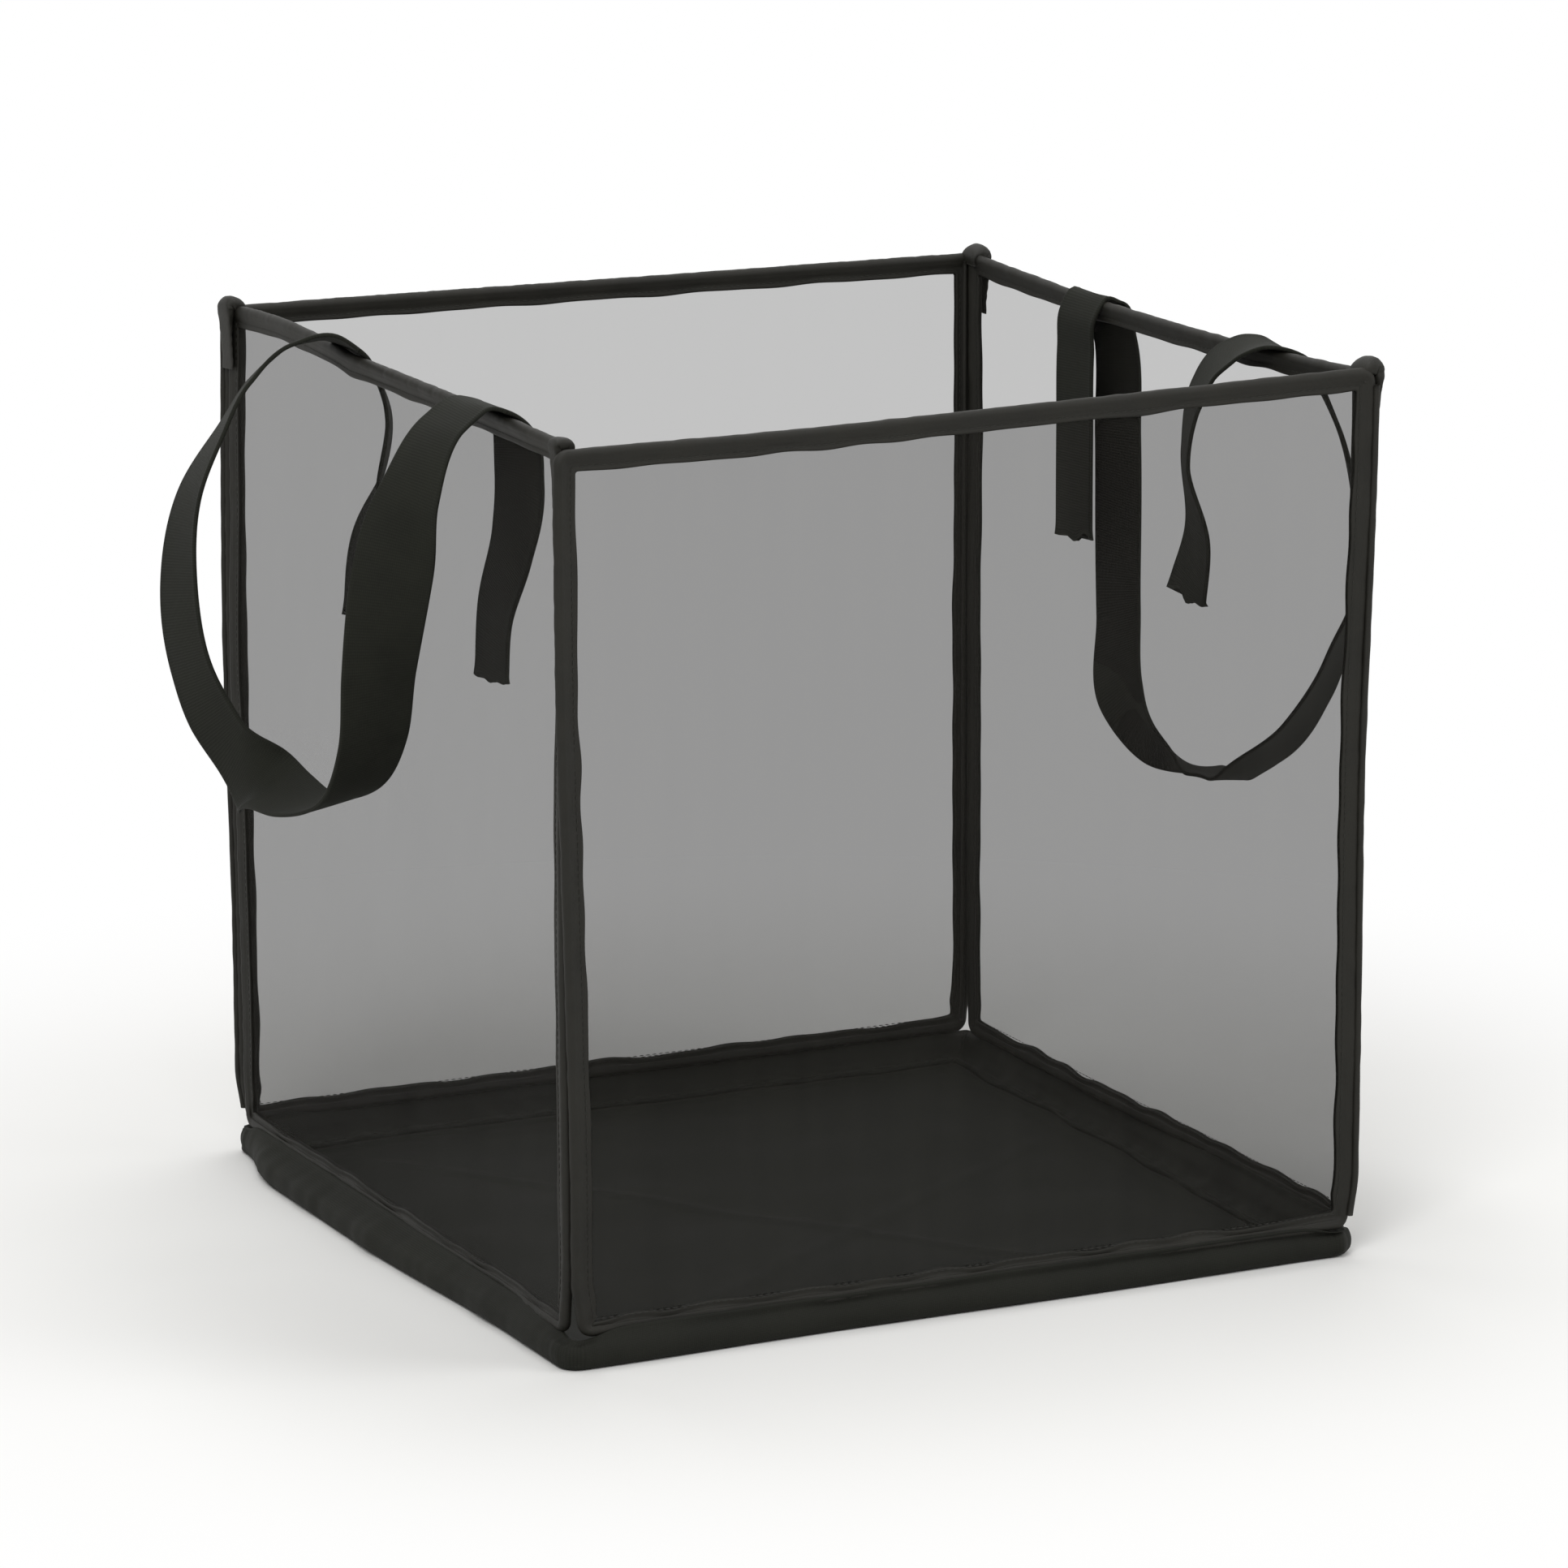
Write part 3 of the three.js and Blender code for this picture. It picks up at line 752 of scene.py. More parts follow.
def panel(wall):
    length, height = WALLS[wall]["length"], TOP - FOOT
    low, high = box(f"{wall}_wall_mesh")
    width = max(high[0] - low[0], high[1] - low[1])
    tall = high[2] - low[2]
    x, y = np.meshgrid(
        np.linspace(-width / 2, width / 2, NET_STEPS),
        np.linspace(0, tall, NET_STEPS),
        indexing="ij",
    )
    y = y + (height - tall) / 2
    u, v = 2 * x / width, 2 * (y - height / 2) / tall
    hold = (1 - u**4) * (1 - v**4)
    seed = len(wall) * 11
    ripples = 0.9 * MM * waves_2d(x, y, 0.11, seed) + 0.35 * MM * waves_2d(x, y, 0.035, seed + 1)
    z = bend_of_wall(wall, x, y) * edge_hold(length, height, x, y) + hold * ripples
    points = stand_up(wall, x, y, z)
    piece = sheet_object(f"{wall}_wall_net", points, x, y, WALLS[wall]["out"])
    finish_with(piece, MESH)
    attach(piece, WALL_BODY[wall])
    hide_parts(f"{wall}_wall_mesh")
    return piece


panels = {wall: panel(wall) for wall in WALLS}
print("mesh panels:", len(panels))

# %% [markdown]
# The wires and their crimped ferrules stay hidden in the casings. A wire bows with its wall, so it is
# drawn again here as a round bar that follows the same line. The ferrule sits where the wall
# hardly bows, so its CAD shape is kept and only gets a finish.


# %% Steel inside the casings
WIRE_SIDES = 12


def spring_wire(wall):
    """A circle carried round the frame's line: a = r cos q inwards and r sin q out of the wall."""
    low, high = box(f"{wall}_wall_wire")
    radius = min(high[0] - low[0], high[1] - low[1]) / 2
    frame_line, gone, total = wire_frame(wall, 4 * MM)
    angle = circle(WIRE_SIDES)
    across = np.tile(radius * np.cos(angle), (len(gone), 1))
    points = on_wall(wall, around_frame(*frame_line, across), radius * np.sin(angle)[None, :])
    around = round_uv(WIRE_SIDES, radius)
    piece = tube_object(f"{wall}_wall_bar", points, np.append(gone, total), around, True)
    finish_with(piece, STEEL)
    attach(piece, WALL_BODY[wall])
    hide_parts(f"{wall}_wall_wire")
    ferrule = bpy.data.objects[f"{wall}_wall_wire_ferrule"]
    ferrule.data.materials.clear()
    ferrule.data.materials.append(STEEL)
    return piece


wires = [spring_wire(wall) for wall in WALLS]
print("spring wires:", len(wires))

# %% [markdown]
# ## The base
#
# The floor is one piece of woven cloth that lies on the ground and rises at its rim into the edge
# binding. Folding the hamper leaves soft creases, so the height of the cloth is a sum of slow waves,
# kept above the ground and flat where the rim is sewn. The base has also crept a little out of square:
# its left edge bulges outwards, its back left and front right corners are pulled in, and so is its
# front edge.

# %% Floor cloth
FLOOR_HALF = (floor_high[:2] - floor_low[:2]) / 2
RIM_HEIGHT = floor_high[2] - 0.4 * MM
FLOOR_REST = 0.5 * MM
FLOOR_STEPS = 150
# Two old folds, each a ridge along the line where a x + b y + c is 0: a, b, c, half width, and rise
# as a share of the higher ridge.
FLOOR_FOLDS = ((0.8, 0.6, 0.03, 0.004, 1.0), (0.55, -0.83, -0.05, 0.005, 0.7))


def creep(points, bulge=1.0, pull=1.0):
    """Shift of the base's cloth, faded out 70 mm inside each edge. The left edge bulges by 1.3 to 7 mm,
    times the bulge, and is drawn in at the back. The front edge moves in by 1 to 6 mm, times the pull,
    and the back left and front right corners move in by about 5 mm."""
    x, y = points[..., 0], points[..., 1]
    left = (1.3 + 5.8 * smoothstep(y, -0.13, 0.02)) * (1 - 1.35 * smoothstep(y, 0.11, 0.172))
    right = 5.5 * (1 - smoothstep(y, -0.15, 0.05)) * smoothstep(x, 0.1, 0.168)
    front = 0.6 + 3.0 * smoothstep(x, -0.17, -0.06) + 2.4 * smoothstep(x, 0.04, 0.17)
    back = 4.5 * smoothstep(-x, 0.1, 0.168) * smoothstep(y, 0.1, 0.168)
    moved = points.copy()
    moved[..., 0] -= (left * smoothstep(-x, 0.1, 0.168) * bulge + right) * MM
    moved[..., 1] += (front * smoothstep(-y, 0.1, 0.168) * pull - back) * MM
    return moved


def floor_cloth():
    share = np.linspace(-1, 1, FLOOR_STEPS)
    u, v = np.meshgrid(share, share, indexing="ij")
    x, y = u * FLOOR_HALF[0], v * FLOOR_HALF[1]
    from_rim = np.minimum(FLOOR_HALF[0] - np.abs(x), FLOOR_HALF[1] - np.abs(y))
    creases = 0.5 + 0.5 * waves_2d(x, y, 0.1, 21)
    ridges = 0 * x
    for a, b, c, half_width, rise in FLOOR_FOLDS:
        ridges += rise * np.exp(-(((x * a + y * b + c) / half_width) ** 2))
    inside = smoothstep(from_rim, 0.012, 0.05)
    height = FLOOR_REST + inside * (1.6 * MM * np.clip(creases, 0, 2) + 0.9 * MM * ridges)
    height = height + (RIM_HEIGHT - FLOOR_REST) * (1 - smoothstep(from_rim, 0.011, 0.017))
    points = creep(np.stack([x, y, height], axis=-1), bulge=0.0)
    piece = sheet_object("floor_cloth_sheet", points, x, y, (0, 0, 1))
    finish_with(piece, FLOOR_CLOTH)
    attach(piece, "base_and_back_wall")
    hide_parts("base_floor")
    return piece


floor_sheet = floor_cloth()

# %% [markdown]
# The edge of the base is a wide strip of the same cloth wrapped round a thick soft cord. The cord
# makes it round and the ground presses it flat below. On the outside the cloth runs up over the foot
# of the walls to a thin lip, where it is sewn to their casings, and inside it slopes to a hem whose
# line is a little wavy. Its section is a smooth curve through a few points. The strip is puckered by
# its seams, most of all at the corners.

# %% Section of the corded edge: inwards from the cord's middle and up, in millimetres
EDGE_POINTS = np.array([
    (-2.6, 0.0), (-4.6, 1.0), (-5.8, 3.0), (-6.2, 5.6), (-5.8, 8.2),
    (-4.7, 10.5), (-3.2, 12.4), (-1.9, 14.1), (-1.2, 15.5), (-0.75, 15.8),
    (-0.2, 15.0), (0.8, 12.8), (2.6, 10.9), (4.6, 8.6), (6.6, 5.6),
    (9.0, 3.6), (11.5, 2.9), (13.9, 2.6), (14.3, 1.8), (14.2, 0.05),
], float)
EDGE_HALF = (edge_high[:2] - edge_low[:2]) / 2
EDGE_RADIUS = 6.2 * MM
EDGE_MIDDLE = edge_high[2] - EDGE_RADIUS
EDGE_CORNER = 3.6 * MM
EDGE_LEAST = 1 * MM
EDGE_SIZE = 2 * (EDGE_HALF - EDGE_RADIUS)
EDGE_STITCH_LINE = 11.6 * MM


# %% Corded edge
def edge_frame(spacing, arc_steps=6):
    return line_frame(*EDGE_SIZE, EDGE_CORNER, EDGE_LEAST, spacing, arc_steps)


def corded_edge():
    curve, _ = smooth_through(EDGE_POINTS * MM, 0.75 * MM)
    under = np.stack([np.linspace(14.2, -2.4, 14)[1:-1] * MM, np.full(12, 0.03 * MM)], axis=1)
    section = np.concatenate([curve, under])
    frame_line, gone, total = edge_frame(1.5 * MM, arc_steps=10)
    cornerness = np.exp(-(((2 - np.abs(frame_line[0]).sum(1)) / 0.06) ** 2))
    a, b = section[:, 0], section[:, 1]
    above = smoothstep(b, 1.0 * MM, 3 * MM) * (1 - 0.8 * smoothstep(b, 12 * MM, 15 * MM))
    hemness = smoothstep(a, 3 * MM, 9 * MM)
    swell = 0.5 * MM * waves(gone, 0.09, 31) + 0.22 * MM * waves(gone, 0.028, 32)
    puckers = 0.09 * MM * waves_2d(gone[:, None], 0.6 * a[None, :] + 0.4 * b[None, :], 0.016, 33)
    gathers = 0.3 * MM * waves(gone, 0.006, 34) * cornerness
    proud = above[None, :] * (swell[:, None] + puckers + gathers[:, None])
    across = a[None, :] - proud * (1 - hemness)
    across = across + hemness * 1.0 * MM * waves(gone, 0.06, 35)[:, None]
    lip = np.clip(b - 10.5 * MM, 0, None)
    lift = (b - lip)[None, :] + lip[None, :] * (1 - 0.75 * cornerness[:, None])
    lift = lift + proud * smoothstep(b, 6 * MM, 12 * MM) * 0.7
    lift = lift + hemness * above * 0.3 * MM * waves(gone, 0.02, 36)[:, None]
    side = around_frame(*frame_line, across)
    outer = (1 - smoothstep(b, 9 * MM, 15.4 * MM)) * (1 - smoothstep(a, 4.5 * MM, 13 * MM))
    points = creep(
        np.concatenate([side, np.clip(lift, 0, None)[..., None]], axis=-1),
        bulge=outer,
        pull=1 - smoothstep(b, 11 * MM, 15.4 * MM),
    )
    piece = tube_object(
        "base_edge_strip", points, np.append(gone, total), section_lengths(section), True
    )
    finish_with(piece, FLOOR_CLOTH)
    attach(piece, "base_and_back_wall")
    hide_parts("base_edge_binding")
    return piece


def edge_stitches():
    frame_line, _, _ = edge_frame(STITCH_PITCH, arc_steps=1)
    outwards = frame_line[1]
    at = around_frame(*frame_line, np.array([EDGE_STITCH_LINE]))[:, 0]
    centres = creep(np.concatenate([at, np.full((len(at), 1), 3.0 * MM)], axis=1), bulge=0.1)
    ways = np.column_stack([-outwards[:, 1], outwards[:, 0], np.zeros(len(at))])
    piece = thread_row("base_edge_stitches", centres, ways, np.tile([0, 0, 1.0], (len(at), 1)))
    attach(piece, "base_and_back_wall")
    return piece


edge_strip, edge_thread = corded_edge(), edge_stitches()

# %% [markdown]
# The cord inside the edge is three strands twisted together. Its radius is a circle with three bumps
# whose angle turns steadily along the path, which is the usual way to draw a twisted rope.


# %% Twisted filler cord
CORD_RADIUS = 4.2 * MM
CORD_LAY = 26 * MM
CORD_SIDES = 24


def filler_cord():
    """Radius at angle q and distance s: r * (0.86 + 0.14 * |cos(1.5 * (q - 2 pi s / lay))|)."""
    frame_line, gone, total = edge_frame(1.5 * MM)
    angle = circle(CORD_SIDES)
    twist = 2 * np.pi * round(total / CORD_LAY) * gone / total
    lobes = np.abs(np.cos(1.5 * (angle[None, :] - twist[:, None])))
    radius = CORD_RADIUS * (0.86 + 0.14 * lobes)
    across, lift = radius * np.cos(angle), EDGE_MIDDLE - 0.4 * MM + radius * np.sin(angle)
    side = around_frame(*frame_line, across)
    points = creep(np.concatenate([side, lift[..., None]], axis=-1))
    around = round_uv(CORD_SIDES, CORD_RADIUS)
    piece = tube_object("base_edge_filler", points, np.append(gone, total), around, True)
    finish_with(piece, CORD)
    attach(piece, "base_and_back_wall")
    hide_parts("base_edge_cord")
    return piece


edge_filler = filler_cord()
print("base pieces:", floor_sheet.name, edge_strip.name, edge_filler.name)

# %% [markdown]
# ## The handles
#
# Each handle is one length of ribbed webbing. It is sewn inside a side wall, comes up over the rail,
# hangs outside in a loop, and goes back over the rail to its other sewn end. Its route is a table of
# stations: how far outside the wall's middle plane it is, where it is along the wall, how high above
# the rail, and how its width is turned from the wall's direction and tilted up, in degrees. The
# stations were first chosen. A least-squares fit then moved most of them, to bring the webbing's
# edges closer to where the photograph shows them, and some were set one by one after that. A
# smooth curve through the stations carries the webbing's section. The stations follow the sag of the
# rails, and near the lowest point of each loop the webbing turns over by a quarter. The height above
# the rail is counted from a fixed level 366 mm above the ground.

# %% Stations of the two handles, in millimetres and degrees
TABLE_RAIL = 366 * MM
LEFT_STATIONS = np.array([
    (-6.3, -82.9, -107.9, -0.6, 0.1), (-6.4, -86.5, -80.2, -0.1, 0.3),
    (-8.5, -99.5, -49.5, 5, 0), (-8, -108.3, -21.8, 12.2, 0),
    (-6.2, -106.6, -3, 9.1, 0), (0, -105, 5.6, 0, 0),
    (8.8, -103.9, 8.1, 8, -0.9), (21.9, -103.7, 1, 9.3, -1.3),
    (37.6, -105.1, -25.9, 24.5, 1.2), (43.7, -101.5, -58.3, 63.6, -0.9),
    (47.3, -95.8, -96.8, 90, -1), (46.2, -85.6, -128, 99.5, -1.5),
    (47.2, -65.6, -151.8, 102, -7), (53.5, -36, -163, 98, -6),
    (55.2, -8, -162.8, 70, -14), (57, 9, -160.8, 36, -29),
    (61.3, 22.4, -152.5, 13, -36), (68.7, 32, -137.2, 14.1, -26.8),
    (73.8, 38.9, -119, 10.9, -7), (75.2, 47.4, -84.6, 4.6, 0.2),
    (68.7, 51.2, -51.1, -7, 0.2), (55.8, 49.6, -26, -19.8, -0.1),
    (41.3, 50.6, -5.3, -28.3, 0.1), (24.3, 48.5, 8.4, -26.7, -7.4),
    (8.8, 45.9, 10.8, -12.7, -12.3), (-0.1, 44.9, 6.4, -0.3, 0.3),
    (-7.8, 44.4, -1.6, -11.7, 0.4), (-16.5, 44.3, -22.8, -24.3, -0.7),
    (-13.5, 45.7, -49.8, -26.5, -0.5), (-10.8, 54.4, -82.3, 3.9, 0.2),
    (-7.9, 57, -109.6, 0.7, 0),
], float)
RIGHT_STATIONS = np.array([
    (-13.2, -52.5, -110.2, 0, 0), (-12.9, -60.5, -83, 11.5, 0),
    (-18.8, -60.1, -49.1, 24.6, -0.3), (-18.4, -68.3, -21.1, 20, 0.2),
    (-13, -78.8, -5.1, 17.3, 0), (-6, -86.1, 0.5, 7.6, -2.8),
    (0, -91.5, 1.7, 0.3, -2.2), (10.5, -98.4, -1.9, 0.9, 2.9),
    (19.9, -99.1, -13.5, 18.7, 0.3), (32.1, -98.6, -35.3, 25.5, -0.4),
    (40.9, -99.1, -69.8, 25.8, 0.1), (42.9, -94.7, -102.8, 30.7, 0.5),
    (42.2, -89.1, -121.1, 41, -9.3), (40.9, -82.6, -135.5, 48.8, 2.1),
    (37.6, -65.4, -161.9, 71.1, 15), (30.4, -33.5, -190, 84.5, 3.2),
    (25.4, -21.2, -198.2, 50.1, -12.6), (20, -8.6, -196.9, 28.9, -0.4),
    (14.9, -0.2, -195.2, 37.1, -22.9), (5.6, 13.2, -188.7, 19.7, -41.5),
    (0.6, 30.7, -169.6, -11.8, -31.9), (8.1, 47.7, -136.9, -8.6, -17),
    (8.4, 50.1, -60.3, -8.5, 0), (9.3, 55, -18.4, -6, 0),
    (7, 59, -4, -4, 0), (0, 60, 0.4, -2, 0),
    (-6.2, 60, -7.8, 0, 0), (-7.5, 59.5, -23.4, 0, 0),
    (-9, 57, -60, 0, 0), (-10, 55, -104, 0, 0),
], float)


# %% Section of the webbing
WEB_WIDTH = 32 * MM
WEB_THICK = 1.5 * MM


def webbing_section(count=22):
    """Half widths and heights round the webbing: flat faces with a slightly thicker, rounded selvedge."""
    t = np.linspace(-1, 1, count)
    across = np.sin(t * np.pi / 2 * 0.985) * WEB_WIDTH / 2
    edge = smoothstep(np.abs(across), WEB_WIDTH * 0.42, WEB_WIDTH * 0.47)
    end = np.clip((WEB_WIDTH / 2 - np.abs(across)) / (WEB_THICK * 0.5), 0, 1)
    half = (WEB_THICK / 2) * (1 + 0.18 * edge) * np.sqrt(1 - (1 - end) ** 2 * 0.92)
    return np.concatenate(
        [np.stack([across, half], axis=1), np.stack([across[::-1], -half[::-1]], axis=1)]
    )


def strap_surface(stations, way):
    """Rings of the webbing. way is -1 on the left wall and 1 on the right one, and the width direction is
    made square to the path. Returns the rings, the distance gone, and how far out each ring is."""
    scaled = stations * np.array([MM, MM, MM, DEGREE, DEGREE])
    curve, gone = smooth_through(scaled, 1.5 * MM)
    out, y, rise, turn, tilt = curve.T
    middle = np.stack([way * (SIDE_X + out), y, TABLE_RAIL + rise], axis=1)
    along = unit(np.gradient(middle, gone, axis=0))
    level = np.stack([way * np.sin(turn), np.cos(turn), np.zeros_like(turn)], axis=1)
    wide = level * np.cos(tilt)[:, None] + np.array([0, 0, 1.0]) * np.sin(tilt)[:, None]
    wide = unit(wide - along * (wide * along).sum(1)[:, None])
    thick = np.cross(along, wide)
    section = webbing_section()
    cup = 0.35 * MM * waves(gone, 0.12, 41)[:, None] * (1 - (section[:, 0] / (WEB_WIDTH / 2)) ** 2)
    rings = (
        middle[:, None, :]
        + wide[:, None, :] * section[None, :, 0:1]
        + thick[:, None, :] * (section[None, :, 1] + cup)[..., None]
    )
    return rings, gone, out, along, section


# %% [markdown]
# The webbing ends were cut by hand and melted, so they are wavy and a little swollen. The last few
# millimetres are pushed out along the webbing by a wavy amount that depends on the place across it.


# %% Ragged ends
def ragged(rings, along, section, at_start, seed, slant=1.2 * MM):
    """Rings within 5 mm of an end move along the webbing by w(x) * s, where w is a wave across the width
    with a slant, and s grows from 0 to 1 at the very end, and they swell by up to 6 per cent."""
    count = 4
    order = np.arange(count) if at_start else len(rings) - 1 - np.arange(count)
    share = 1 - np.arange(count) / count
    across = section[:, 0] / (WEB_WIDTH / 2)
    wave = 1.3 * MM * waves(across, 1.3, seed) + slant * across
    sign = -1 if at_start else 1
    push = sign * share[:, None, None] * wave[None, :, None] * along[order][:, None, :]
    middle = rings[order].mean(1, keepdims=True)
    rings = rings.copy()
    rings[order] = middle + (rings[order] - middle) * (1 + 0.06 * share[:, None, None] ** 2) + push
    return rings


def strap_piece(name, rings, gone, node):
    section_length = distance_gone(rings[len(rings) // 2])
    around = np.append(section_length, section_length[-1] + WEB_THICK)
    piece = tube_object(name, rings, gone, around, False)
    finish_with(piece, WEBBING)
    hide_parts(node)
    return piece


def handle(side, stations, way, keeps, seeds):
    """The loop is the part outside the rail's middle, and a sewn end is what goes on inside. The keeps
    argument is not used."""
    rings, gone, out, along, section = strap_surface(stations, way)
    rings = ragged(rings, along, section, True, seeds[0], slant=3.2 * MM)
    rings = ragged(rings, along, section, False, seeds[1])
    outside = np.nonzero(out >= 0)[0]
    first, last = outside[0], outside[-1]
    wall, body = f"{side}_wall", f"{side}_handle"
    for place, part, keep in (
        ("front", slice(None, first + 1), keeps[0]),
        ("back", slice(last, None), keeps[1]),
    ):
        piece = strap_piece(
            f"{side}_handle_{place}_end", rings[part], gone[part], f"{side}_handle_{place}_tail"
        )
        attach(piece, wall)
        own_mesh(piece)
    part = slice(first, last + 1)
    loop = strap_piece(f"{side}_handle_strap", rings[part], gone[part], f"{side}_handle_loop")
    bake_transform(loop)
    print(f"{side} handle: {gone[-1]:.3f} m of webbing")


# The left loop turns over while it goes straight out. The back leg of the right loop hangs close to the
# wall, so that loop turns over while it goes down.
handle("left", LEFT_STATIONS, -1, (0.36, 0.26), (51, 55))
handle("right", RIGHT_STATIONS, 1, (0.22, 0.36), (53, 58))

# %% [markdown]
# ## Corners
#
# At each top corner the binding of the side wall ends in a folded tab. It comes over the rail in a
# small thick knob and hangs a little way down the outside, closed round the corner like a short
# sleeve. The tab is a ribbon whose path goes over the rail, with a knob where the layers pile up. The
# four knobs differ, as hand-sewn ones do.

# %% Four folded tabs: reach from the wall's middle, width, fullness of the knob, how far it stands off
TABS = {
    ("left", "front"): (168.8, 7.4, 0.25, 0.0),
    ("left", "back"): (169.6, 12.4, 0.85, 0.6),
    ("right", "front"): (170.2, 13.0, 1.0, 1.5),
    ("right", "back"): (169.8, 12.0, 0.7, 0.8),
}
# The way of a tab over the rail: out, rise above the rail's middle and thickness, in millimetres.
TAB_ROUTE = np.array([
    (-2.7, -2.5, 1.4), (-2.8, 0.8, 1.6), (-2.0, 3.4, 2.0), (0.2, 5.2, 2.6),
    (2.4, 5.7, 2.8), (3.9, 4.4, 2.4), (4.3, 1.6, 1.9), (3.9, -3, 1.5),
    (3.5, -9, 1.4), (3.2, -16, 1.3), (3.1, -21, 1.2), (3.2, -24.4, 1.1),
], float)


# %% Folded tabs
TAB_SIDES = 28


def tab(side, end):
    """A flat ring carried over the rail. The knob's rise above the rail is 2 + fullness * (rise - 2) mm,
    the tab stands off its wall by up to the given distance at its top, and under the crown the ring is
    four times as thick downwards, so that it closes over the rail's rounded corner."""
    reach, width, fullness, stand = TABS[side, end]
    route = TAB_ROUTE.copy()
    high = route[:, 1] > 2
    route[high, 1] = 2 + fullness * (route[high, 1] - 2)
    route[high, 2] *= 0.6 + 0.4 * fullness
    route[:, 0] += stand * (route[:, 0] > 2) * smoothstep(route[:, 1], -24, -4)
    curve, gone = smooth_through(route * MM, 0.7 * MM)
    out, rise, thick = curve.T
    towards = 1 if (side == "left") == (end == "front") else -1
    slope = unit(np.gradient(curve[:, :2], gone, axis=0))
    t = circle(TAB_SIDES)
    lobe_x = np.abs(np.cos(t)) ** 0.45 * np.sign(np.cos(t))
    lobe_z = np.abs(np.sin(t)) ** 0.7 * np.sign(np.sin(t))
    fray = 1 + 0.04 * waves(gone, 0.007, 61 if end == "front" else 67)
    flare = fray * (0.9 + 0.1 * smoothstep(rise, -18 * MM, 2 * MM))
    x = towards * reach * MM + (flare * width / 2)[:, None] * lobe_x[None, :] * MM
    crown = 1 - 0.35 * np.abs(lobe_x) ** 3 * smoothstep(rise, 0, 3 * MM)[:, None]
    filling = 1 + 3 * smoothstep(rise, -14 * MM, 2 * MM)[:, None] * (lobe_z > 0)
    offset = lobe_z[None, :] * thick[:, None] / 2 * filling
    z = out[:, None] + slope[:, 1:] * offset
    y = (RAIL - FOOT) + rise[:, None] * crown - slope[:, :1] * offset
    rings = stand_up(side, x, y, z)
    around = round_uv(TAB_SIDES, width * MM / np.pi)
    piece = tube_object(f"{side}_{end}_tape_end", rings, gone, around, False)
    finish_with(piece, BINDING)
    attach(piece, f"{side}_wall")
    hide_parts(f"{side}_{end}_binding_tab")
    return piece


tabs = [tab(side, end) for side, end in TABS]
print("tape ends:", [t.name for t in tabs])

# %% [markdown]
# Each upright corner is sewn along a thin rolled edge, the line about which the corner folds. It is a
# narrow roll of binding tape: a circle with a shallow crease where the tape's edge lies, which turns
# slowly on its way up. The two rolls on the outside are fuller, and reach over the casing's edge.


# %% Rolled corner seams
SEAM_TWIST = 40  # radians for each metre of height
SEAM_SIDES = 20


def corner_seam(node, wall, fuller, follow):
    """Radius at angle q and height h: r * (0.88 + 0.12 * sin(pi * share)), where the share is the
    fraction of (q + twist * h) in a turn. The roll follows its wall's bow by the given share."""
    low, high = box(node)
    centre, radius = (low + high) / 2, (high[0] - low[0]) / 2 * fuller
    centre[:2] -= np.sign(centre[:2]) * (fuller - 1) * MM
    height = np.linspace(low[2], high[2], 170)
    angle = circle(SEAM_SIDES)
    turn_share = ((angle[None, :] + SEAM_TWIST * (height - low[2])[:, None]) / (2 * np.pi)) % 1
    roll = radius * (0.88 + 0.12 * np.sin(np.pi * turn_share))
    roll = roll * (1 + 0.05 * waves(height, 0.02, 71))[:, None]
    way = WALLS[wall]["along"][0]
    drift, _, _ = hang(wall, np.full_like(height, way * centre[0]), height - FOOT)
    rings = np.stack(
        [
            centre[0] + (way * follow * drift)[:, None] + roll * np.cos(angle),
            centre[1] + roll * np.sin(angle),
            np.repeat(height[:, None], SEAM_SIDES, axis=1),
        ],
        axis=-1,
    )
    around = round_uv(SEAM_SIDES, radius)
    piece = tube_object(f"{node}_roll", rings, height, around, False)
    finish_with(piece, BINDING)
    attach(piece, WALL_BODY[wall])
    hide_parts(node)
    return piece


seams = [
    corner_seam("back_left_seam", "back", 1.45, 1.0),
    corner_seam("back_right_seam", "back", 1.0, 0.3),
    corner_seam("front_left_seam", "front", 1.0, 0.3),
    corner_seam("front_right_seam", "front", 1.45, 1.0),
]
print("corner seams:", len(seams))

# %% [markdown]
# When the box folds, its cloth floor creases up between the walls. Here each piece of the base only
# gets a mesh of its own.

# %% Each piece of the base gets its own mesh
for piece in (floor_sheet, edge_strip, edge_thread, edge_filler):
    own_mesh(piece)

# %% [markdown]
# ## The studio
#
# The hamper stands on a plain pale floor in front of a white background, as in a shop's photograph.
# The background's white shows only to the camera and in reflections, so it doesn't light the cloth,
# and the floor keeps a soft shadow under the base.


# %% Floor and backdrop
def show_mixed(nodes, links, share, first, second, output):
    """Show the first shader where the share is 0 and the second where it is 1."""
    mix = nodes.new("ShaderNodeMixShader")
    links.new(share, mix.inputs[0])
    links.new(first.outputs[0], mix.inputs[1])
    links.new(second.outputs[0], mix.inputs[2])
    links.new(mix.outputs[0], output.inputs["Surface"])


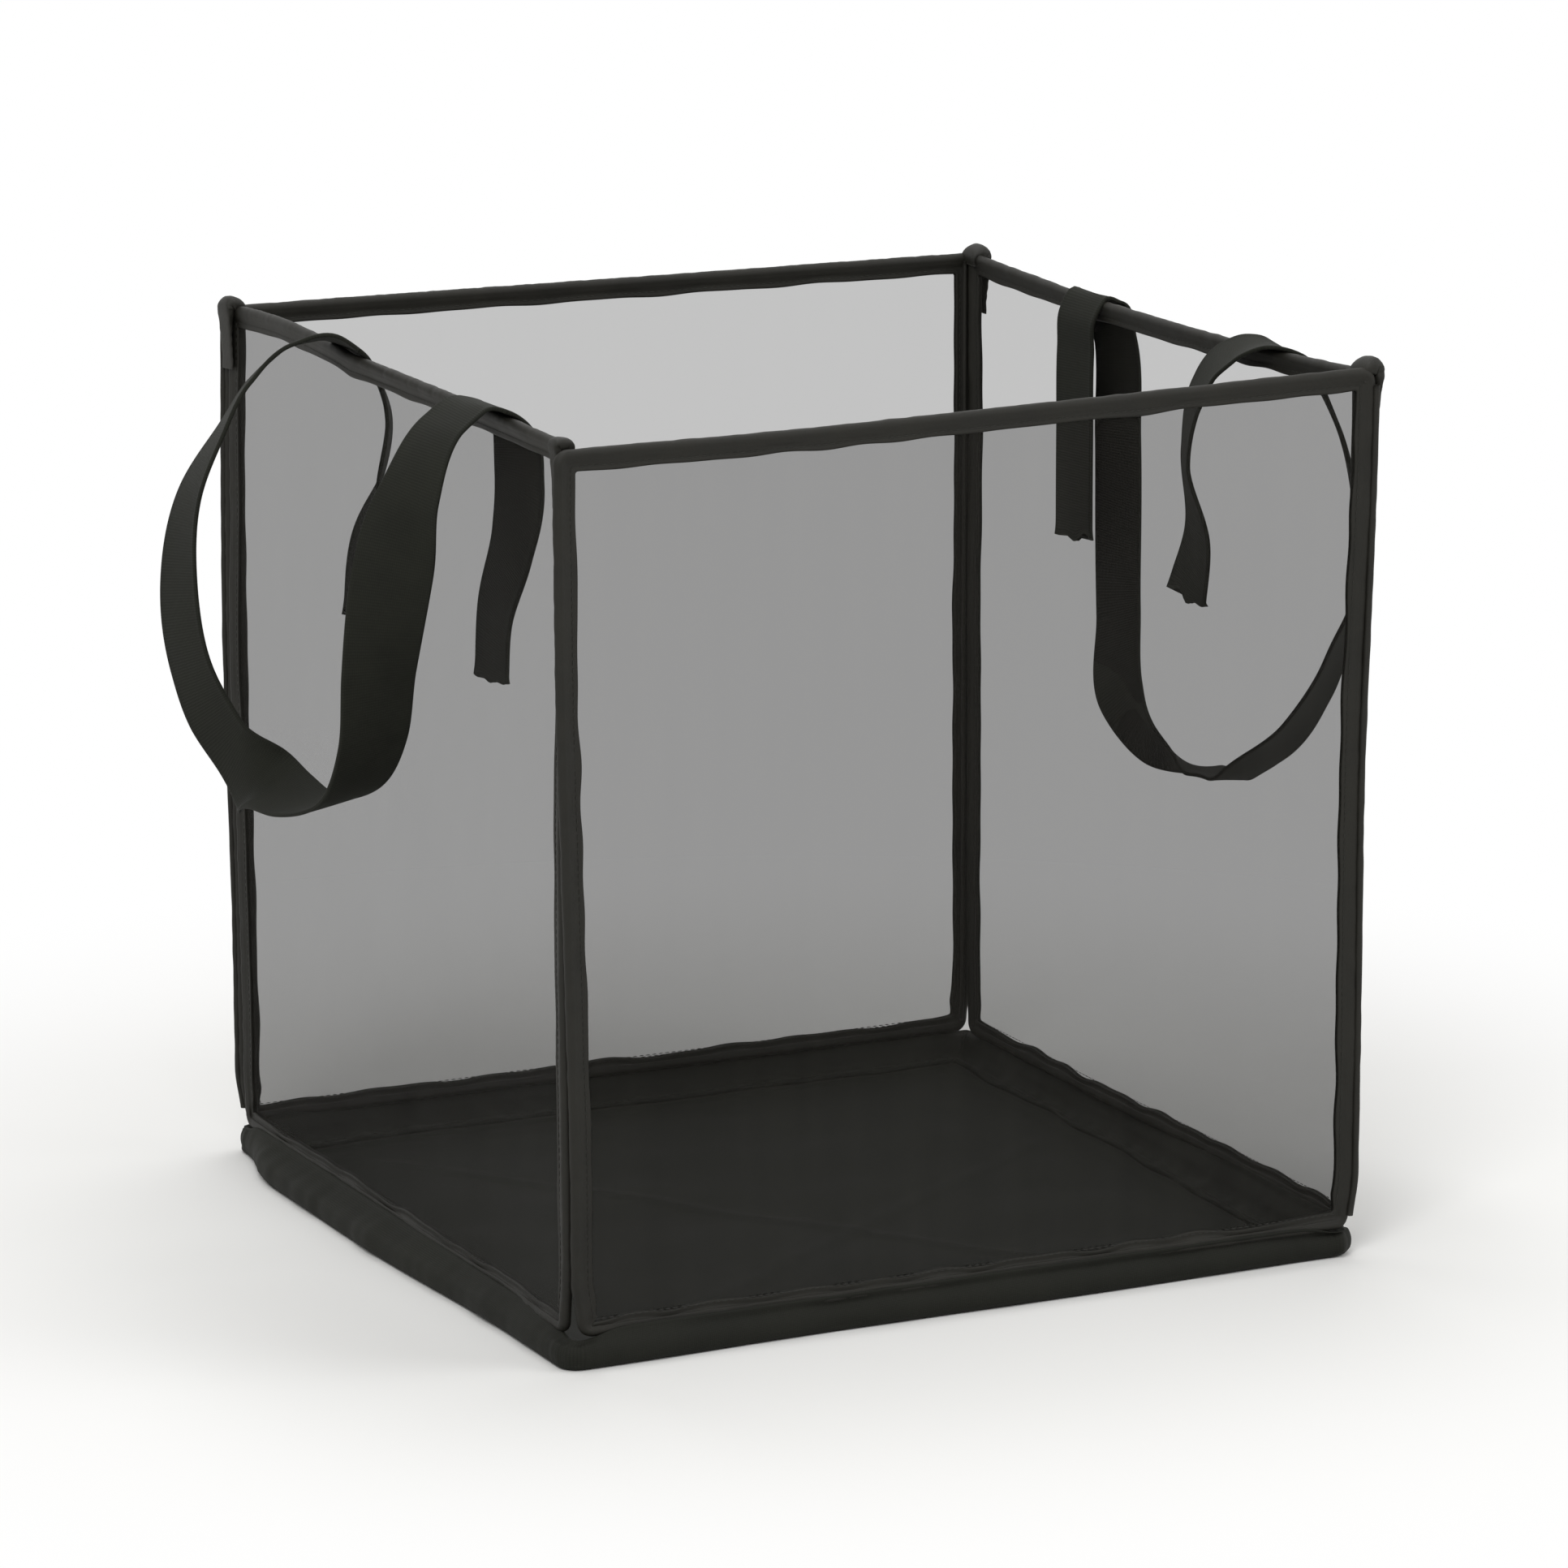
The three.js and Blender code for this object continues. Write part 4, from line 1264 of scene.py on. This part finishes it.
def ground():
    """A pale floor that fades, for the camera only, to white 0.26 to 0.62 m from the middle."""
    side = np.linspace(-6, 6, 3)
    x, y = np.meshgrid(side, side, indexing="ij")
    points = np.stack([x, y, np.zeros_like(x)], axis=-1).reshape(-1, 3)
    faces, _, _ = grid_faces(3, 3, False, False)
    piece = mesh_object("studio_floor", points, faces.tolist(), smooth=False)
    material, nodes, links, shader = new_material("studio_white")
    set_values(shader, Base_Color=(0.8, 0.8, 0.79, 1), Roughness=0.9, Specular_IOR_Level=0.0)
    where = nodes.new("ShaderNodeTexCoord")
    distance = nodes.new("ShaderNodeVectorMath")
    distance.operation = "LENGTH"
    links.new(where.outputs["Object"], distance.inputs[0])
    fade = nodes.new("ShaderNodeMapRange")
    fade.interpolation_type = "SMOOTHSTEP"
    fade.inputs["From Min"].default_value = 0.26
    fade.inputs["From Max"].default_value = 0.62
    links.new(distance.outputs["Value"], fade.inputs["Value"])
    light_path = nodes.new("ShaderNodeLightPath")
    seen = math_node(nodes, links, "MULTIPLY", light_path.outputs["Is Camera Ray"], fade.outputs[0])
    glow = add_node(nodes, "ShaderNodeEmission", Color=(1, 1, 1, 1), Strength=1.0)
    show_mixed(nodes, links, seen, shader, glow, nodes["Material Output"])
    piece.data.materials.append(material)
    return piece


def surroundings():
    """Soft light from all sides, and plain white for the camera and in reflections."""
    world = bpy.data.worlds.new("studio_world")
    bpy.context.scene.world = world
    world.use_nodes = True
    nodes, links = world.node_tree.nodes, world.node_tree.links
    path = nodes.new("ShaderNodeLightPath").outputs
    seen = math_node(nodes, links, "MAXIMUM", path["Is Camera Ray"], path["Is Glossy Ray"])
    seen = math_node(nodes, links, "MAXIMUM", seen, path["Is Transmission Ray"])
    white = add_node(nodes, "ShaderNodeBackground", Color=(1, 1, 1, 1), Strength=1.0)
    set_values(nodes["Background"], Color=(1, 0.99, 0.97, 1), Strength=0.55)
    show_mixed(nodes, links, seen, nodes["Background"], white, nodes["World Output"])


ground()
surroundings()


# %% Lamps
LAMP_TARGET = (0, 0, 0.2)


def area_lamp(name, place, size, power):
    data = bpy.data.lights.new(name, "AREA")
    data.shape = "DISK"
    data.size = size
    data.energy = power
    lamp = bpy.data.objects.new(name, data)
    bpy.context.collection.objects.link(lamp)
    aim = Vector(LAMP_TARGET) - Vector(place)
    lamp.matrix_world = Matrix.Translation(place) @ aim.to_track_quat("-Z", "Y").to_matrix().to_4x4()
    return lamp


area_lamp("key_lamp", (-1.8, -2.2, 2.6), 1.6, 60)
area_lamp("fill_lamp", (2.4, -1.6, 1.8), 1.8, 25)
area_lamp("top_lamp", (0.2, 0.8, 2.8), 1.6, 30)

bpy.context.scene.view_settings.view_transform = "Standard"
